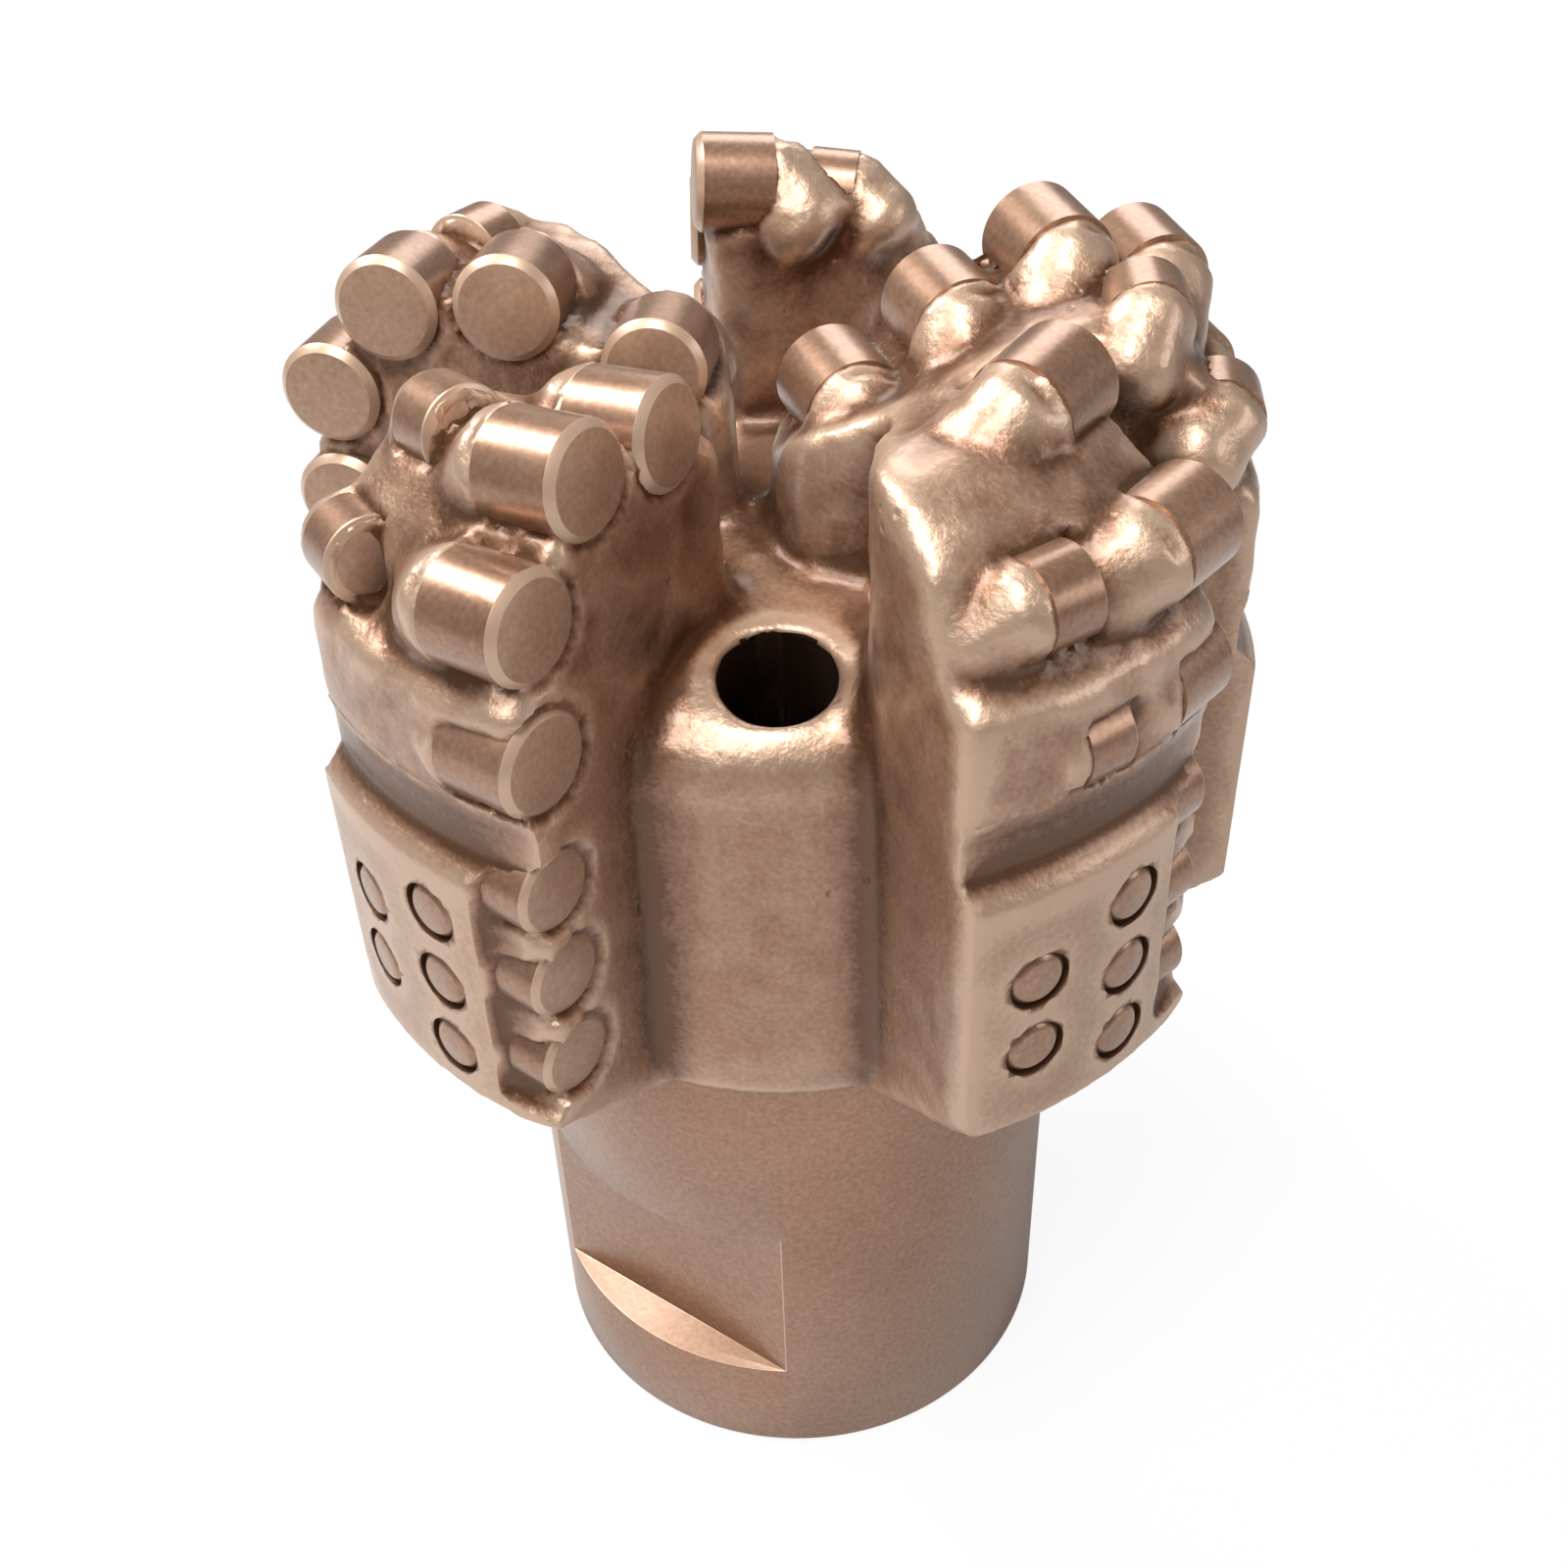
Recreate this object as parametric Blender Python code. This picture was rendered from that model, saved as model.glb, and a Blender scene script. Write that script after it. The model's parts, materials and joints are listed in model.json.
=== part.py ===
"""PDC drill bit: a cast matrix crown with five blades, brazed cutters and a steel shank.

The bit stands on the open end of its shank. The origin is on the bit's axis at that end,
+Z runs up to the cutting face, and the two wrench flats face -Y and +Y.
Units are metres and degrees. Blades are counted counter-clockwise, seen from above,
and each blade is drawn in its own frame: x outwards, y ahead (the way it cuts), z up.
"""

from math import cos, radians, sin, sqrt, tan

import bmesh
import bpy
from mathutils import Matrix, Vector

# Gauge that the pads are ground to, and the hole that the bit cuts
GAUGE_DIAMETER = 0.1524
GAUGE_RADIUS = GAUGE_DIAMETER / 2

# Clearances and helpers of the cuts
SEAT_GAP = 0.0003
MERGE_DISTANCE = 0.00003
OVERRUN = 0.020
SHARP_EDGE_ANGLE = 35.0

# Steel shank
SHANK_RADIUS = 0.0486
SHANK_HEIGHT = 0.098
SHANK_CHAMFER = 0.0012
SHANK_SEGMENTS = 48
WRENCH_FLAT_DEPTH = 0.0074
WRENCH_FLAT_BOTTOM = 0.0230
WRENCH_FLAT_HEIGHT = 0.0380
SPIGOT_RADIUS = 0.0340
SPIGOT_HEIGHT = 0.0200
SOCKET_MOUTH_RADIUS = 0.0375
SOCKET_END_RADIUS = 0.0300
SOCKET_DEPTH = 0.0760
SOCKET_RELIEF_DEPTH = 0.0040
BORE_RADIUS = 0.0160
BORE_CONE_DEPTH = 0.0080

# Levels of the crown, each above the one before: gauge pads, shoulders and nose arc
GAUGE_FOOT_RISE = 0.0140
GAUGE_PAD_HEIGHT = 0.0445
SHOULDER_HEIGHT = 0.0295
NOSE_RISE = 0.0036
GAUGE_BOTTOM = SHANK_HEIGHT + GAUGE_FOOT_RISE
GAUGE_TOP = GAUGE_BOTTOM + GAUGE_PAD_HEIGHT
SHOULDER_TOP = GAUGE_TOP + SHOULDER_HEIGHT
PROFILE_ARC_HEIGHT = SHOULDER_TOP + NOSE_RISE

# Hub of the crown: the wall between the blades, its rounded bend and its sloping top
HUB_LEDGE = 0.0014
HUB_RADIUS = SHANK_RADIUS + HUB_LEDGE
HUB_BEND_RISE = 0.0035
HUB_BEND_HEIGHT = GAUGE_TOP + HUB_BEND_RISE
HUB_BEND_RADIUS = 0.0110
HUB_BEND_STEPS = 6
HUB_TOP_SLOPE = 12.0
HUB_SEGMENTS = 72
PLENUM_RADIUS = 0.0200
PLENUM_HEIGHT = 0.0330
PLENUM_DOME_HEIGHT = 0.0080

# Cutting profile, through the centres of the primary cutters
PROFILE_ARC_RADIUS = 0.02205

# Outside of the blades
BLADE_SINK = 0.0010
NOSE_STEPS = 14
GAUGE_NOTCH_DEPTH = 0.0034
GAUGE_NOTCH_HEIGHT = 0.0130
SHOULDER_SINK = 0.0022
GRINDING_ALLOWANCE = 0.0006
BLADE_FOOT_LEDGE = 0.0006
BLADE_FOOT_RADIUS = SHANK_RADIUS + BLADE_FOOT_LEDGE
BLADE_FOOT_DROP = 0.0015
BLADE_FOOT_HEIGHT = SHANK_HEIGHT - BLADE_FOOT_DROP

# Plan of a blade, in its own frame
LEADING_FACE = 0.0048
TRAILING_HUB_POINT = (0.0394, -0.0308)
TRAILING_GAUGE_POINT = (0.0632, -0.0425)
BLADE_CORNER_ROUND = 0.0060
CORNER_SHARE = 0.49
CORNER_STEPS = 4

# Casting: the size of the blended edges and roots
CAST_GRAIN = 0.0015
CAST_SMOOTHING = 14
CAST_FACE_SHARE = 0.030

# Cutters
CUTTER_RADIUS = 0.0080
CUTTER_LENGTH = 0.0130
CUTTER_CHAMFER = 0.0011
CUTTER_FACE_AHEAD = 0.0062
CUTTER_SEGMENTS = 16
CUTTER_CLEARANCE = 0.0040
BACK_RAKE = 5.0
BACKING_LENGTH = 0.0100
BACKING_END_RADIUS = 0.0025
BACKUP_RADIUS = 0.0067
BACKUP_LENGTH = 0.0090
BACKUP_CHAMFER = 0.0008
BACKUP_SLOT = 0.0022
GAUGE_CUTTER_RADIUS = 0.0067
GAUGE_CUTTER_LENGTH = 0.0080
GAUGE_CUTTER_AHEAD = 0.0036
GAUGE_CUTTER_DROP = 0.0019
GAUGE_CUTTER_GAP = 0.0026
GAUGE_CUTTER_COUNT = 3
GAUGE_STRIP_DEPTH = 0.0022
GAUGE_STRIP_WIDTH = 0.0105
GAUGE_STRIP_MARGIN = 0.0015
GAUGE_RAKE = 8.0

# Gauge buttons
BUTTON_TOP_RADIUS = 0.0030
BUTTON_RADIUS = 0.0045
BUTTON_HOLE_RADIUS = 0.0049
BUTTON_CHAMFER_DEPTH = 0.0006
BUTTON_GROOVE_DEPTH = 0.0013
BUTTON_SEGMENTS = 10
BUTTON_FRONT_ANGLE = -12.0
BUTTON_REAR_ANGLE = -25.0
BUTTON_DROP = 0.0095
BUTTON_PITCH = 0.0135
BUTTON_FRONT_COUNT = 3
BUTTON_REAR_COUNT = 2

# Nozzle ports
PORT_RADIUS = 0.0088
PORT_TILT = 22.0
PORT_SEGMENTS = 20

# Blades: angle of each about +Z, the turn of its cutters, how far it stands above the profile
# and the slope of its inner cone
BLADE_NAMES = ("a", "b", "c", "d", "e")
BLADE_ANGLES = {"a": -84.3, "b": -1.6, "c": 57.5, "d": 132.0, "e": 205.5}
CUTTER_TURNS = {"a": -1.7, "b": 0.0, "c": -3.5, "d": 0.0, "e": 0.0}
BLADE_LIFTS = {"a": 0.0, "b": 0.0, "c": 0.0032, "d": 0.0015, "e": 0.0025}
CONE_ANGLES = {"a": 22.3, "b": 22.3, "c": 30.0, "d": 22.3, "e": 22.3}

# Inner end of each blade: corners of its plan from the leading face round to the hub point
INNER_ENDS = {
    "a": ((0.0196, LEADING_FACE), (0.0196, -0.0020), (0.0290, -0.0150)),
    "b": ((0.0240, LEADING_FACE), (0.0240, -0.0020), (0.0292, -0.0152), (0.0344, -0.0247)),
    "c": ((0.0010, LEADING_FACE), (-0.0022, -0.0060), (-0.0015, -0.0150), (0.0075, -0.0220)),
    "d": ((0.0450, LEADING_FACE), (0.0440, -0.0210), (0.0500, -0.0330)),
    "e": ((0.0055, LEADING_FACE), (0.0055, -0.0030), (0.0090, -0.0095), (0.0250, -0.0215)),
}

# Primary cutters of each blade, from the gauge inwards: how far the outermost one stands
# below the end of the nose arc, then the clear distance along the profile to each next one
PRIMARY_GAPS = {
    "a": (0.0134, 0.0045, 0.0047, 0.0030),
    "b": (0.0144, 0.0055, 0.0110),
    "c": (0.0005, 0.0026, 0.0026, 0.0022, 0.0036),
    "d": (0.0109, 0.0050, 0.0030),
    "e": (0.0131, 0.0026, 0.0026, 0.0031, 0.0072),
}

# Back-up cutters: the primary each one follows, its distance from it along the profile,
# its angle behind it, and its sink
BACKUP_PLACES = {
    "a": (("a2", -0.0014, -19.0, 0.0015), ("a3", 0.0025, -23.0, 0.0015)),
    "b": (("b2", 0.0000, -16.0, 0.0015), ("b3", 0.0005, -12.5, -0.0008)),
    "c": (("c4", -0.0076, -17.0, 0.0015), ("c5", -0.0052, -20.0, 0.0015)),
    "d": (("d1", 0.0050, -13.0, 0.0015), ("d2", 0.0080, -20.0, 0.0015)),
    "e": (("e3", -0.0035, -15.0, 0.0015), ("e4", -0.0016, -20.0, 0.0015)),
}

# Nozzle port in each wide slot, by the blade behind it: radius of its mouth and angle from it
PORT_PLACES = {
    "a": (0.0355, 29.7),
    "c": (0.0360, 27.0),
    "d": (0.0410, 20.5),
    "e": (0.0350, 23.0),
}


def turned(angle):
    """Matrix of a turn about +Z."""
    return Matrix.Rotation(radians(angle), 4, "Z")


def profile_arc_centre(blade):
    """Centre of a blade's nose arc, as radius and height."""
    return (
        GAUGE_RADIUS - CUTTER_RADIUS - PROFILE_ARC_RADIUS,
        PROFILE_ARC_HEIGHT + BLADE_LIFTS[blade],
    )


def profile_lengths(blade):
    """Lengths of the inner cone and of the nose arc of a blade's cutting profile."""
    centre_r, _ = profile_arc_centre(blade)
    cone = radians(CONE_ANGLES[blade])
    cone_length = (centre_r - PROFILE_ARC_RADIUS * sin(cone)) / cos(cone)
    return cone_length, PROFILE_ARC_RADIUS * (radians(90) + cone)


def primary_places(blade):
    """Places of a blade's primary cutters along its profile, from the innermost outwards."""
    below, *gaps = PRIMARY_GAPS[blade]
    places = [sum(profile_lengths(blade)) + below]
    for gap in gaps:
        places.append(places[-1] - 2 * CUTTER_RADIUS - gap)
    return places[::-1]


def profile_point(blade, place, sink=0.0):
    """Radius, height and outward direction at a distance along a blade's cutting profile."""
    centre_r, centre_z = profile_arc_centre(blade)
    cone = radians(CONE_ANGLES[blade])
    cone_end_r = centre_r - PROFILE_ARC_RADIUS * sin(cone)
    cone_end_z = centre_z + PROFILE_ARC_RADIUS * cos(cone)
    cone_length, arc_length = profile_lengths(blade)
    if place <= cone_length:
        back = cone_length - place
        r, z = cone_end_r - back * cos(cone), cone_end_z - back * sin(cone)
        normal = (-sin(cone), cos(cone))
    elif place <= cone_length + arc_length:
        turn = radians(90) + cone - (place - cone_length) / PROFILE_ARC_RADIUS
        normal = (cos(turn), sin(turn))
        r = centre_r + PROFILE_ARC_RADIUS * normal[0]
        z = centre_z + PROFILE_ARC_RADIUS * normal[1]
    else:
        normal = (1.0, 0.0)
        r = centre_r + PROFILE_ARC_RADIUS
        z = centre_z - (place - cone_length - arc_length)
    return r - sink * normal[0], z - sink * normal[1], normal


def arc_points(centre, radius, start, end, count):
    """Points along an arc, by angle in degrees, as (x, y) pairs."""
    points = []
    for step in range(count + 1):
        turn = radians(start + (end - start) * step / count)
        points.append((centre[0] + radius * cos(turn), centre[1] + radius * sin(turn)))
    return points


def new_material(name, colour, roughness, metallic):
    """A Principled material."""
    material = bpy.data.materials.new(name)
    material.use_nodes = True
    shader = material.node_tree.nodes["Principled BSDF"]
    shader.inputs["Base Color"].default_value = (*colour, 1.0)
    shader.inputs["Roughness"].default_value = roughness
    shader.inputs["Metallic"].default_value = metallic
    return material


def new_object(name, mesh_tools, material=None):
    """An object that takes over the geometry of a bmesh."""
    mesh = bpy.data.meshes.new(name)
    bmesh.ops.recalc_face_normals(mesh_tools, faces=mesh_tools.faces)
    mesh_tools.to_mesh(mesh)
    mesh_tools.free()
    if material:
        mesh.materials.append(material)
    made = bpy.data.objects.new(name, mesh)
    bpy.context.collection.objects.link(made)
    return made


def as_guide(made):
    """Mark an object as a cutter or guide that is not part of the bit."""
    made.hide_render = True
    made.display_type = "WIRE"
    return made


def revolved(profile, segments):
    """A closed turned solid from (radius, height) points that start and end on the axis."""
    tools = bmesh.new()
    verts = [tools.verts.new((r, 0.0, z)) for r, z in profile]
    edges = [tools.edges.new(pair) for pair in zip(verts, verts[1:], strict=False)]
    bmesh.ops.spin(
        tools, geom=verts + edges, cent=(0, 0, 0), axis=(0, 0, 1),
        angle=radians(360), steps=segments, use_merge=True,
    )
    bmesh.ops.remove_doubles(tools, verts=tools.verts, dist=MERGE_DISTANCE)
    return tools


def prism(outline, bottom, top):
    """An upright solid from a plan outline."""
    tools = bmesh.new()
    floor = tools.faces.new([tools.verts.new((x, y, bottom)) for x, y in outline])
    raised = bmesh.ops.extrude_face_region(tools, geom=[floor])["geom"]
    lifted = [item for item in raised if isinstance(item, bmesh.types.BMVert)]
    bmesh.ops.translate(tools, verts=lifted, vec=(0, 0, top - bottom))
    return tools


def turned_along(profile, segments, frame):
    """A turned solid of (radius, distance) points, laid along a frame's +Z."""
    tools = revolved(profile, segments)
    bmesh.ops.transform(tools, matrix=frame, verts=tools.verts)
    return tools


def frame_at(origin, direction, upwards):
    """A frame at a point whose +Z is a direction and whose +X leans towards another."""
    z_axis = Vector(direction).normalized()
    x_axis = (Vector(upwards) - z_axis * Vector(upwards).dot(z_axis)).normalized()
    y_axis = z_axis.cross(x_axis)
    turn = Matrix((x_axis, y_axis, z_axis)).transposed().to_4x4()
    return Matrix.Translation(Vector(origin)) @ turn


def join_into(target, source):
    """Add the geometry of one bmesh to another and free it."""
    mesh = bpy.data.meshes.new("part_of_union")
    bmesh.ops.recalc_face_normals(source, faces=source.faces)
    source.to_mesh(mesh)
    source.free()
    target.from_mesh(mesh)
    bpy.data.meshes.remove(mesh)


def boolean(target, other, operation):
    """Add an exact Boolean modifier."""
    cut = target.modifiers.new(operation.lower(), "BOOLEAN")
    cut.operation = operation
    cut.solver = "EXACT"
    cut.object = other
    return cut


def apply_modifiers(made):
    """Replace an object's mesh by its evaluated one."""
    graph = bpy.context.evaluated_depsgraph_get()
    evaluated = bpy.data.meshes.new_from_object(made.evaluated_get(graph))
    made.modifiers.clear()
    made.data = evaluated


def face_frame(blade, place, ahead, sink=0.0, behind=0.0):
    """Frame of a cutter's face on a blade: +Z along the cutter's axis, out of its face."""
    r, z, normal = profile_point(blade, place, sink)
    outward = Vector((normal[0], 0, normal[1]))
    axis = Vector((0, 1, 0)) * cos(radians(BACK_RAKE)) + outward * sin(radians(BACK_RAKE))
    turn = turned(BLADE_ANGLES[blade] + CUTTER_TURNS[blade] + behind)
    return turn @ frame_at((r, ahead, z), axis, outward)


def gauge_cutter_height(count):
    """Height of a gauge cutter, counted down from the top of the pad."""
    pitch = 2 * GAUGE_CUTTER_RADIUS + GAUGE_CUTTER_GAP
    return GAUGE_TOP - GAUGE_CUTTER_DROP - (count - 1) * pitch


def gauge_face_frame(blade, height):
    """Frame of a gauge cutter's face."""
    outward = Vector((1, 0, 0))
    axis = Vector((0, 1, 0)) * cos(radians(GAUGE_RAKE)) + outward * sin(radians(GAUGE_RAKE))
    lean = GAUGE_CUTTER_RADIUS * cos(radians(GAUGE_RAKE))
    r = sqrt(GAUGE_RADIUS**2 - GAUGE_CUTTER_AHEAD**2) - lean - SEAT_GAP
    place = frame_at((r, GAUGE_CUTTER_AHEAD, height), axis, outward)
    return turned(BLADE_ANGLES[blade]) @ place


def cutter_profile(radius, length, chamfer):
    """Section of a cutter whose face is at zero and whose body runs down from it."""
    return (
        (0.0, 0.0), (radius - chamfer, 0.0), (radius, -chamfer),
        (radius, -length), (0.0, -length),
    )


def pocket_profile(radius, length, ahead):
    """Section of a cutter's pocket, open ahead of the face."""
    return (
        (0.0, ahead), (radius + SEAT_GAP, ahead),
        (radius + SEAT_GAP, -length - SEAT_GAP), (0.0, -length - SEAT_GAP),
    )


def cutter_places():
    """Every cutter: name, face frame, radius, length, chamfer and clear space ahead."""
    places = []
    for blade in BLADE_NAMES:
        primaries = {}
        for count, place in enumerate(primary_places(blade), 1):
            primaries[f"{blade}{count}"] = place
            frame = face_frame(blade, place, CUTTER_FACE_AHEAD)
            name = f"cutter_{blade}{count}"
            places.append(
                (name, frame, CUTTER_RADIUS, CUTTER_LENGTH, CUTTER_CHAMFER, CUTTER_CLEARANCE)
            )
        for count, (leader, along, behind, sink) in enumerate(BACKUP_PLACES[blade], 1):
            frame = face_frame(blade, primaries[leader] + along, 0.0, sink, behind)
            name = f"backup_{blade}{count}"
            places.append(
                (name, frame, BACKUP_RADIUS, BACKUP_LENGTH, BACKUP_CHAMFER, BACKUP_SLOT)
            )
        for count in range(1, GAUGE_CUTTER_COUNT + 1):
            frame = gauge_face_frame(blade, gauge_cutter_height(count))
            name = f"gauge_cutter_{blade}{count}"
            places.append((
                name, frame, GAUGE_CUTTER_RADIUS, GAUGE_CUTTER_LENGTH, BACKUP_CHAMFER,
                CUTTER_CLEARANCE,
            ))
    return places


def build_cutters(material):
    """The brazed cutters, each a turned cylinder with a chamfered face."""
    for name, frame, radius, length, chamfer, _ in cutter_places():
        tools = turned_along(cutter_profile(radius, length, chamfer), CUTTER_SEGMENTS, Matrix())
        cutter = new_object(name, tools, material)
        cutter.data.shade_smooth()
        cutter.data.set_sharp_from_angle(angle=radians(SHARP_EDGE_ANGLE))
        cutter.matrix_world = frame


def hub_profile():
    """Section of the solid hub, from its foot to the top of its slope."""
    slope = radians(HUB_TOP_SLOPE)
    bend = (HUB_RADIUS - HUB_BEND_RADIUS, HUB_BEND_HEIGHT)
    arc = arc_points(bend, HUB_BEND_RADIUS, 0, 90 - HUB_TOP_SLOPE, HUB_BEND_STEPS)
    top = arc[-1][1] + arc[-1][0] * sin(slope) / cos(slope)
    foot = BLADE_FOOT_HEIGHT - OVERRUN
    return [(0.0, foot), (HUB_RADIUS, foot), *arc, (0.0, top)]


def envelope_profile(blade):
    """Section that bounds a blade before grinding: foot, gauge, shoulder, nose and cone."""
    centre_r, centre_z = profile_arc_centre(blade)
    cone = CONE_ANGLES[blade]
    skin = PROFILE_ARC_RADIUS - BLADE_SINK
    shoulder_r = GAUGE_RADIUS - SHOULDER_SINK
    nose = [
        point for point in arc_points((centre_r, centre_z), skin, 0, 90 + cone, NOSE_STEPS)
        if point[1] > SHOULDER_TOP + BLADE_LIFTS[blade] + SHOULDER_SINK
    ]
    tip_r, tip_z = nose[-1]
    cast_r = GAUGE_RADIUS + GRINDING_ALLOWANCE
    return [
        (0.0, BLADE_FOOT_HEIGHT), (BLADE_FOOT_RADIUS, BLADE_FOOT_HEIGHT),
        (cast_r, GAUGE_BOTTOM), (cast_r, GAUGE_TOP + GAUGE_NOTCH_DEPTH),
        (shoulder_r, GAUGE_TOP + GAUGE_NOTCH_HEIGHT), (shoulder_r, SHOULDER_TOP),
        *nose, (0.0, tip_z - tip_r * tan(radians(cone))),
    ]


def grinding_profile():
    """Section of what is ground off the blades: the gauge and the notch above its ridge."""
    notch_r = GAUGE_RADIUS - GAUGE_NOTCH_DEPTH
    notch_top = GAUGE_TOP + GAUGE_NOTCH_HEIGHT
    outer = GAUGE_RADIUS + OVERRUN
    return [
        (outer, GAUGE_BOTTOM - OVERRUN), (outer, notch_top + GAUGE_NOTCH_DEPTH),
        (GAUGE_RADIUS - SHOULDER_SINK + GRINDING_ALLOWANCE, notch_top + GAUGE_NOTCH_DEPTH),
        (notch_r, notch_top - GAUGE_NOTCH_DEPTH), (notch_r, GAUGE_TOP + GAUGE_NOTCH_DEPTH),
        (GAUGE_RADIUS, GAUGE_TOP), (GAUGE_RADIUS, GAUGE_BOTTOM - OVERRUN),
        (outer, GAUGE_BOTTOM - OVERRUN),
    ]


def rounded(points, radius):
    """A closed plan outline with each corner turned into an arc of up to a radius."""
    outline = []
    for place, corner in enumerate(points):
        here = Vector(corner)
        before = Vector(points[place - 1]) - here
        after = Vector(points[(place + 1) % len(points)]) - here
        half = before.angle(after) / 2
        cut = min(radius / tan(half), before.length * CORNER_SHARE, after.length * CORNER_SHARE)
        start, end = here + before.normalized() * cut, here + after.normalized() * cut
        for step in range(CORNER_STEPS + 1):
            share = step / CORNER_STEPS
            outline.append(start.lerp(here, share).lerp(here.lerp(end, share), share))
    return [tuple(point) for point in outline]


def blade_outline(name):
    """Plan of a blade, with its two sides run out past the gauge."""
    hub_x, hub_y = TRAILING_HUB_POINT
    gauge_x, gauge_y = TRAILING_GAUGE_POINT
    reach = (GAUGE_RADIUS + OVERRUN - gauge_x) / (gauge_x - hub_x)
    far = (gauge_x + (gauge_x - hub_x) * reach, gauge_y + (gauge_y - hub_y) * reach)
    outline = [(GAUGE_RADIUS + OVERRUN, LEADING_FACE), *INNER_ENDS[name]]
    if INNER_ENDS[name][-1][0] < hub_x:
        outline.append(TRAILING_HUB_POINT)
    return rounded([*outline, far], BLADE_CORNER_ROUND)


def build_blade_body(name):
    """One blade: its plan raised and trimmed to the envelope."""
    section = envelope_profile(name)
    envelope = as_guide(new_object("blade_envelope", revolved(section, HUB_SEGMENTS)))
    above = PROFILE_ARC_HEIGHT + PROFILE_ARC_RADIUS + OVERRUN
    tools = prism(blade_outline(name), BLADE_FOOT_HEIGHT - SEAT_GAP, above)
    bmesh.ops.transform(tools, matrix=turned(BLADE_ANGLES[name]), verts=tools.verts)
    body = new_object("blade_body_" + name, tools)
    boolean(body, envelope, "INTERSECT")
    apply_modifiers(body)
    bpy.data.objects.remove(envelope)
    return body


def build_backings(target):
    """The cast ramps behind the primary cutters, added to a bmesh."""
    for blade in BLADE_NAMES:
        for place in primary_places(blade):
            frame = face_frame(blade, place, CUTTER_FACE_AHEAD)
            top = CUTTER_RADIUS - CUTTER_CHAMFER
            section = (
                (0.0, -CUTTER_LENGTH / 2), (top, -CUTTER_LENGTH / 2),
                (top, -CUTTER_LENGTH), (BACKING_END_RADIUS, -CUTTER_LENGTH - BACKING_LENGTH),
                (0.0, -CUTTER_LENGTH - BACKING_LENGTH),
            )
            join_into(target, turned_along(section, CUTTER_SEGMENTS, frame))


def build_casting():
    """Hub, blades and backings blended into one cast body by a remesh and smoothing."""
    union = revolved(hub_profile(), HUB_SEGMENTS)
    bmesh.ops.recalc_face_normals(union, faces=union.faces)
    for name in BLADE_NAMES:
        body = build_blade_body(name)
        union.from_mesh(body.data)
        bpy.data.objects.remove(body)
    build_backings(union)
    casting = new_object("matrix_crown", union)
    remesh = casting.modifiers.new("cast_grain", "REMESH")
    remesh.mode = "VOXEL"
    remesh.voxel_size = CAST_GRAIN
    smooth = casting.modifiers.new("cast_edges", "SMOOTH")
    smooth.iterations = CAST_SMOOTHING
    thin = casting.modifiers.new("fewer_faces", "DECIMATE")
    thin.ratio = CAST_FACE_SHARE
    apply_modifiers(casting)
    return casting


def crown_bore_profile():
    """Section of what is cut from the crown's foot: seat, spigot hole and plenum."""
    seat = SHANK_HEIGHT + SEAT_GAP
    spigot = seat + SPIGOT_HEIGHT
    plenum = spigot + PLENUM_HEIGHT
    outer = GAUGE_RADIUS + OVERRUN
    return (
        (0.0, -OVERRUN), (outer, -OVERRUN), (outer, seat),
        (SPIGOT_RADIUS + SEAT_GAP, seat), (SPIGOT_RADIUS + SEAT_GAP, spigot),
        (PLENUM_RADIUS, spigot), (PLENUM_RADIUS, plenum - PLENUM_DOME_HEIGHT),
        (PLENUM_RADIUS - PLENUM_DOME_HEIGHT, plenum), (0.0, plenum),
    )


def hub_height(radius):
    """Height of the hub's sloping top at a radius."""
    points = hub_profile()[2:]
    for (r_out, z_out), (r_in, z_in) in zip(points, points[1:], strict=False):
        if r_in <= radius <= r_out:
            return z_out + (z_in - z_out) * (r_out - radius) / (r_out - r_in)
    return points[-1][1]


def build_strip_cutter(blade):
    """The recess along a pad's leading edge, from which the gauge cutters stand out."""
    floor = GAUGE_RADIUS - GAUGE_STRIP_DEPTH
    outer = GAUGE_RADIUS + OVERRUN
    front = LEADING_FACE + OVERRUN
    back = LEADING_FACE - GAUGE_STRIP_WIDTH
    plan = ((floor, front), (floor, back), (outer, back - (outer - floor)), (outer, front))
    lowest = gauge_cutter_height(GAUGE_CUTTER_COUNT)
    bottom = lowest - GAUGE_CUTTER_RADIUS - GAUGE_STRIP_MARGIN
    tools = prism(plan, bottom, GAUGE_TOP + GAUGE_NOTCH_DEPTH)
    bmesh.ops.transform(tools, matrix=turned(BLADE_ANGLES[blade]), verts=tools.verts)
    return tools


def build_port_cutter(blade):
    """A nozzle port, drilled from the slot's floor down into the plenum."""
    mouth_radius, ahead = PORT_PLACES[blade]
    tilt = radians(PORT_TILT)
    mouth = Vector((mouth_radius, 0, hub_height(mouth_radius)))
    axis = Vector((sin(tilt), 0, cos(tilt)))
    depth = (mouth_radius - PLENUM_RADIUS / 2) / sin(tilt)
    frame = turned(BLADE_ANGLES[blade] + ahead) @ frame_at(mouth, axis, (1, 0, 0))
    section = ((0.0, OVERRUN), (PORT_RADIUS, OVERRUN), (PORT_RADIUS, -depth), (0.0, -depth))
    return turned_along(section, PORT_SEGMENTS, frame)


def button_places():
    """Frame on the gauge pad of every button, with +Z outwards."""
    rows = (
        (BUTTON_FRONT_ANGLE, BUTTON_FRONT_COUNT, BUTTON_DROP),
        (BUTTON_REAR_ANGLE, BUTTON_REAR_COUNT, BUTTON_DROP + BUTTON_PITCH / 2),
    )
    places = []
    for blade in BLADE_NAMES:
        for angle, buttons, drop in rows:
            for count in range(buttons):
                origin = (GAUGE_RADIUS, 0, GAUGE_TOP - drop - count * BUTTON_PITCH)
                on_pad = frame_at(origin, (1, 0, 0), (0, 0, 1))
                places.append(turned(BLADE_ANGLES[blade] + angle) @ on_pad)
    return places


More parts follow.
